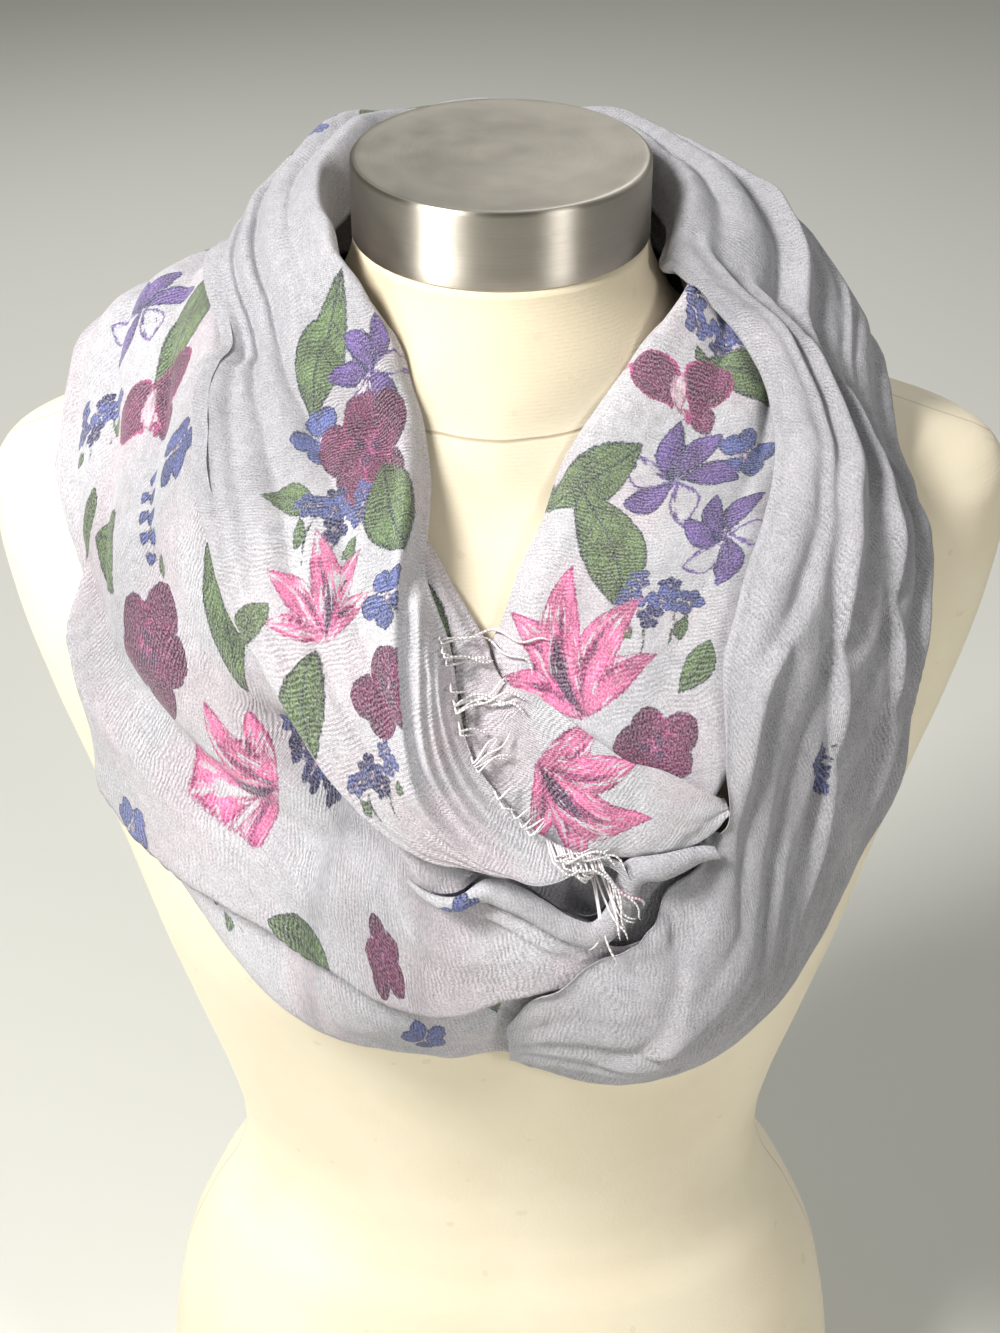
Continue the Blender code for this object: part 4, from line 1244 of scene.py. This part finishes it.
def cloth_bump(s, flat, coarse):
    """Wavy crinkles across the cloth and fine twill, as a normal, and the crinkle itself."""
    place = s.node("ShaderNodeSeparateXYZ", Vector=flat)
    drift = s.noise(flat, 0.09, 2)
    small_drift = s.noise(flat, 0.42, 1)
    slant = s.times(place.outputs[1], 0.32)
    bent = s.scaled(drift, 5.5, s.plus(place.outputs[0], slant))
    bent = s.scaled(small_drift, 1.3, bent)
    wave = s.maths("SINE", s.times(bent, 2 * math.pi / CRINKLE))
    patch = s.ramp(s.noise(flat, 0.05, 3), 0.38, 0.6, 0.15, 1.0)
    crinkle = s.times(wave, patch)
    diagonal = s.plus(place.outputs[0], place.outputs[1])
    twill = s.maths("SINE", s.times(diagonal, 2 * math.pi / TWILL))
    grain = s.noise(flat, 1.3, 2)
    height = s.scaled(twill, 0.22, s.times(crinkle, 0.34))
    height = s.scaled(grain, 0.9, height)
    height = s.scaled(coarse, 1.2, height)
    bump = s.node("ShaderNodeBump", Strength=0.75, Distance=0.0005, Height=height)
    return bump.outputs[0], crinkle, grain


def cloth_material():
    """Thin crinkled twill in pale grey, with its print, and painted shade and highlight on its crinkles."""
    s = Shader("scarf_cloth")
    flat = s.value("cloth").outputs["Vector"]
    coarse = s.noise(flat, 0.22, 3, 0.6)
    normal, crinkle, grain = cloth_bump(s, flat, coarse)
    tint = s.ramp(s.noise(flat, 0.018, 2), 0.42, 0.64)
    base = s.blend(s.times(tint, 0.6), linear(SCREEN["cloth"]), linear(SCREEN["blush"]))
    mottle = s.scaled(s.noise(flat, 0.035, 3, 0.6), 0.9, -0.45)
    grey = s.plus(s.value("tone").outputs["Fac"], mottle)
    grey = s.maths("MINIMUM", s.maths("MAXIMUM", grey, 0.0), 1.0)
    base = s.blend(grey, base, linear(SCREEN["ash"]))

    mark = s.node("ShaderNodeSeparateXYZ", Vector=s.value("mark").outputs["Vector"]).outputs
    brush = s.node("ShaderNodeSeparateXYZ", Vector=s.value("brush").outputs["Vector"]).outputs
    rough_edge = s.scaled(s.noise(flat, 0.55, 2), 1.7, -0.85)
    rough_edge = s.scaled(s.noise(flat, 1.9, 1), 0.8, s.plus(rough_edge, -0.4))
    distance = s.plus(mark[0], rough_edge)
    inside = s.ramp(distance, -0.28, 0.28, 1.0, 0.0)
    depth = s.times(distance, -1.0)
    along = s.times(mark[1], 0.07)
    across = s.times(mark[2], 0.42)
    kind = s.times(brush[1], 3.0)
    strokes = s.node("ShaderNodeCombineXYZ", X=along, Y=across, Z=kind).outputs[0]
    stroke = s.noise(strokes, 1.0, 3, 0.6)
    loose = s.times(brush[1], s.ramp(stroke, 0.3, 0.7, 0.35, 1.7))
    rim = s.ramp(s.maths("SUBTRACT", depth, loose), -0.35, 0.45, 1.0, 0.0)
    dark_width = s.scaled(loose, 0.42, 0.3)
    dark_rim = s.ramp(s.maths("SUBTRACT", depth, dark_width), -0.4, 0.6, 1.0, 0.0)
    cut = s.maths("SUBTRACT", 0.74, s.times(brush[0], 0.5))
    covered = s.ramp(s.maths("SUBTRACT", stroke, cut), -0.035, 0.035)
    cover = s.times(inside, s.maths("MAXIMUM", rim, covered))
    side = s.maths("ABSOLUTE", mark[2])
    midrib = s.ramp(side, 0.25, 0.8, 1.0, 0.0)
    rib_phase = s.maths("SINE", s.scaled(side, 0.9, s.times(mark[1], -1.25)))
    side_ribs = s.times(s.ramp(rib_phase, 0.72, 0.95), 0.6)
    veins = s.times(s.maths("MAXIMUM", midrib, side_ribs), brush[2])
    dark = s.maths("MAXIMUM", dark_rim, veins)
    ink = s.blend(dark, s.value("ink").outputs["Vector"], s.value("rim_ink").outputs["Vector"])
    shade = s.ramp(s.noise(strokes, 2.2, 2), 0.3, 0.7, 0.74, 1.22)
    shade = s.times(shade, s.ramp(s.noise(flat, 0.07, 2), 0.35, 0.65, 0.72, 1.3))
    ink = s.shaded(ink, shade)
    # The ink thins in an uneven speckle of worn threads, and a little more on the crinkle crests as a painted
    # highlight
    worn_threads_and_crest_highlight = s.ramp(s.scaled(crinkle, 0.1, grain), 0.3, 0.75, 1.0, 0.62)
    colour = s.blend(s.times(cover, worn_threads_and_crest_highlight), base, ink)

    # Partly painted shade: the colour darkens in the crinkle troughs and over the coarse bumps; the rest is
    # an uneven speckle of the threads along the fine grain
    thread_speckle_and_painted_shade = s.scaled(crinkle, 0.1, 0.95)
    thread_speckle_and_painted_shade = s.scaled(s.maths("SUBTRACT", grain, 0.5), 1.3, thread_speckle_and_painted_shade)
    thread_speckle_and_painted_shade = s.scaled(s.maths("SUBTRACT", coarse, 0.5), 0.5, thread_speckle_and_painted_shade)
    colour = s.shaded(colour, thread_speckle_and_painted_shade)
    return s.finish(colour, normal, Roughness=0.85, Sheen_Weight=0.18, Sheen_Roughness=0.5,
                    Specular_IOR_Level=0.2)


def thread_material():
    """Loose twisted yarn, pink in places."""
    s = Shader("fringe_yarn")
    flat = s.value("cloth").outputs["Vector"]
    place = s.node("ShaderNodeSeparateXYZ", Vector=flat).outputs
    tint = s.ramp(s.noise(flat, 0.05, 2), 0.6, 0.72)
    colour = s.blend(tint, linear(SCREEN["thread"]), linear(SCREEN["rose"]))
    twist = s.maths("SINE", s.times(place[0], 2 * math.pi / TWIST))
    shade = s.scaled(twist, 0.06, 0.94)
    colour = s.shaded(colour, shade)
    bump = s.node("ShaderNodeBump", Strength=0.6, Distance=0.0003, Height=twist)
    return s.finish(colour, bump.outputs[0], Roughness=0.8)


def cover_material():
    """Cream jersey: fine ribs, faint marks, the seam round the neck, and painted shade on the neck."""
    s = Shader("form_cover")
    place = s.place()
    axes = s.node("ShaderNodeSeparateXYZ", Vector=place).outputs
    cloud = s.ramp(s.noise(place, 0.012, 3), 0.4, 0.62)
    colour = s.blend(s.times(cloud, 0.2), linear(SCREEN["cover"]), linear(SCREEN["cover_mottle_and_shade"]))
    spots = s.ramp(s.noise(place, 0.11, 1), 0.745, 0.775)
    colour = s.blend(s.times(spots, 0.12), colour, linear(SCREEN["cover_spot"]))
    # Painted shade: the neck darkens towards the cap, where the scarf's collars shade it
    neck = s.ramp(axes[2], 592, 655)
    colour = s.blend(s.times(neck, 0.45), colour, linear(SCREEN["cover_mottle_and_shade"]))
    level = s.maths("SUBTRACT", axes[2], s.scaled(axes[1], 0.25, NECK_SEAM))
    wander = s.scaled(s.noise(place, 0.05, 1), 3.0, s.plus(level, -1.5))
    seam = s.ramp(s.maths("ABSOLUTE", wander), 0.15, 1.0, 1.0, 0.0)
    side_seam = s.ramp(s.maths("ABSOLUTE", s.maths("SUBTRACT", axes[1], SIDE_SEAM)), 0.2, 0.9, 1.0, 0.0)
    seam = s.maths("MAXIMUM", seam, s.times(side_seam, s.maths("LESS_THAN", axes[2], NECK_SEAM)))
    colour = s.blend(s.times(seam, 0.5), colour, linear(SCREEN["cover_spot"]))
    rib = s.maths("SINE", s.scaled(axes[2], 2 * math.pi / COVER_RIB, s.noise(place, 0.3, 1)))
    fine = s.noise(place, 0.9, 2)
    height = s.scaled(rib, 0.05, s.times(fine, 0.5))
    height = s.scaled(seam, -1.6, height)
    bump = s.node("ShaderNodeBump", Strength=0.5, Distance=0.0004, Height=height)
    return s.finish(colour, bump.outputs[0], Roughness=0.82, Sheen_Weight=0.12, Specular_IOR_Level=0.25)


def steel_material(name, brushing, roughness):
    """Turned, brushed steel with small scuffs."""
    s = Shader(name)
    place = s.place()
    axes = s.node("ShaderNodeSeparateXYZ", Vector=place).outputs
    squares = s.plus(s.times(axes[0], axes[0]), s.times(axes[1], axes[1]))
    across = s.maths("SQRT", squares)
    rings = s.node("ShaderNodeCombineXYZ", X=across, Y=axes[2], Z=0.0).outputs[0]
    brushed = s.noise(rings, 2.6, 3, 0.7)
    cloud = s.noise(place, 0.06, 3)
    scuff = s.ramp(s.noise(place, 0.5, 3, 0.7), 0.66, 0.72)
    shade = s.scaled(brushed, 0.3, s.scaled(cloud, 0.3, 0.7))
    colour = s.shaded(linear(SCREEN["steel"]), shade)
    rough = s.scaled(cloud, 0.16, roughness)
    rough = s.scaled(scuff, 0.22, rough)
    bump = s.node("ShaderNodeBump", Strength=0.25, Distance=0.0002, Height=brushed)
    tangent = s.node("ShaderNodeTangent", {"direction_type": "RADIAL", "axis": "Z"}).outputs[0]
    s.put(s.surface.inputs["Roughness"], rough)
    s.put(s.surface.inputs["Tangent"], tangent)
    return s.finish(colour, bump.outputs[0], Metallic=1.0, Anisotropic=brushing, Anisotropic_Rotation=0.25)


def plain_material(name, colour, roughness):
    """One plain colour, for the floor."""
    s = Shader(name)
    s.surface.inputs["Base Color"].default_value = linear(colour)
    s.surface.inputs["Roughness"].default_value = roughness
    return s.material


def true_across(points):
    """How far each point lies across the cloth, measured on its surface from the middle."""
    steps = np.linalg.norm(np.diff(points, axis=1), axis=-1)
    across = np.concatenate([np.zeros((len(points), 1)), np.cumsum(steps, axis=1)], axis=1)
    return softened(across - across[:, [across.shape[1] // 2]], 6, 0)


def plain_tone(name, station, v):
    """Grey of the stretches that carry little print: stations and tones."""
    stations, tones, drift = TONES[name]
    return smooth(stations, tones, np.clip(station - drift * (v - 0.5), stations[0], stations[-1]))


cloth = cloth_material()
for name, sheet in (("fold", fold), ("inner", inner), ("outer", outer), ("tail", tail), ("hem", roll)):
    edge = 0 if name == "hem" else EDGE_STEPS + 1
    full = sheet if name == "hem" else hemmed(sheet)
    points = sheet["points"] if name == "hem" else from_core(full["azimuth"], full["tilt"], full["reach"])
    tone = plain_tone(name, sheet["station"], sheet["v"])
    tone = np.pad(tone, ((0, 0), (edge, edge)), mode="edge")
    piece = add_cloth("scarf_" + name, points, full["x"], true_across(points), tone)
    piece.data.materials.append(cloth)
    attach(piece, "root")
    for key, value in printed(sheet, name).items():
        wide = np.pad(value, ((0, 0), (edge, edge), (0, 0)), mode="edge")
        add_value(piece, key, wide.reshape(-1, 3))
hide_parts("scarf_left_outer", "scarf_back_under", "scarf_right_inner")
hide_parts("scarf_right_outer", "scarf_back_upper", "scarf_left_inner")
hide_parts("scarf_centre_roll")
fringe = add_fringe(np.maximum(FRONT_MAP, laid_map(outer, outer["station"][:, 0] > 2)))
fringe.data.materials.append(thread_material())
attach(fringe, "root")
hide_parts("fringe_end")
body = add_form()
body.data.materials.append(cover_material())
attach(body, "root")
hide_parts("form_body")
cap = add_cap()
cap.data.materials.append(steel_material("neck_steel_side", 0.95, 0.34))
cap.data.materials.append(steel_material("neck_steel_top", 0.0, 0.34))
for polygon in cap.data.polygons:
    polygon.material_index = int(polygon.normal.z > 0.8)
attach(cap, "root")
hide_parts("neck_cap")


def add_light(name, place, target, size, power, colour=(1, 1, 1)):
    """A soft rectangular light that faces its target: places and size in metres, power in watts."""
    data = bpy.data.lights.new(name, "AREA")
    data.shape = "RECTANGLE"
    data.size, data.size_y = size
    data.energy = power
    data.color = colour
    result = bpy.data.objects.new(name, data)
    bpy.context.scene.collection.objects.link(result)
    place = np.array(place, float)
    result.location = place
    aim = np.array(target, float) - place
    result.rotation_euler = Vector(aim).to_track_quat("-Z", "Y").to_euler()
    result.visible_camera = False
    return result


floor_mesh = bpy.data.meshes.new("floor")
corners = [(-FLOOR_HALF, -FLOOR_HALF, 0), (FLOOR_HALF, -FLOOR_HALF, 0)]
corners += [(FLOOR_HALF, FLOOR_HALF, 0), (-FLOOR_HALF, FLOOR_HALF, 0)]
floor_mesh.from_pydata(corners, [], [(0, 1, 2, 3)])
floor = bpy.data.objects.new("floor", floor_mesh)
bpy.context.scene.collection.objects.link(floor)
floor.data.materials.append(plain_material("floor", SCREEN["floor"], 0.9))

add_light("key", (-0.95, -0.75, 1.8), (0, -0.05, 0.48), (0.42, 0.42), 46, (1.0, 0.985, 0.95))
add_light("left", (-1.25, -0.9, 0.95), (0, 0, 0.6), (0.12, 0.5), 5, WARM)
add_light("fill", (1.15, -1.2, 1.0), (0, 0, 0.5), (0.25, 0.5), 8, WARM)
add_light("back", (0.5, 1.3, 1.9), (0, 0, 0.55), (1.0, 0.7), 6)
rear = add_light("rear", (-0.4, 1.8, 1.2), (0, 0, 0.45), (1.0, 0.8), 8)
rear.visible_glossy = False
world = bpy.data.worlds.new("studio")
world.use_nodes = True
world.node_tree.nodes["Background"].inputs["Color"].default_value = linear(SCREEN["wall"])
world.node_tree.nodes["Background"].inputs["Strength"].default_value = ROOM_LIGHT
bpy.context.scene.world = world
bpy.context.scene.view_settings.view_transform = "Standard"

camera_data = bpy.data.cameras.new("camera")
camera_data.sensor_width = SENSOR
camera_data.lens = LENS
camera = bpy.data.objects.new("camera", camera_data)
bpy.context.scene.collection.objects.link(camera)
camera.location = CAMERA_PLACE
camera.rotation_euler = (math.radians(90 - CAMERA_DOWN), 0, 0)
bpy.context.scene.camera = camera
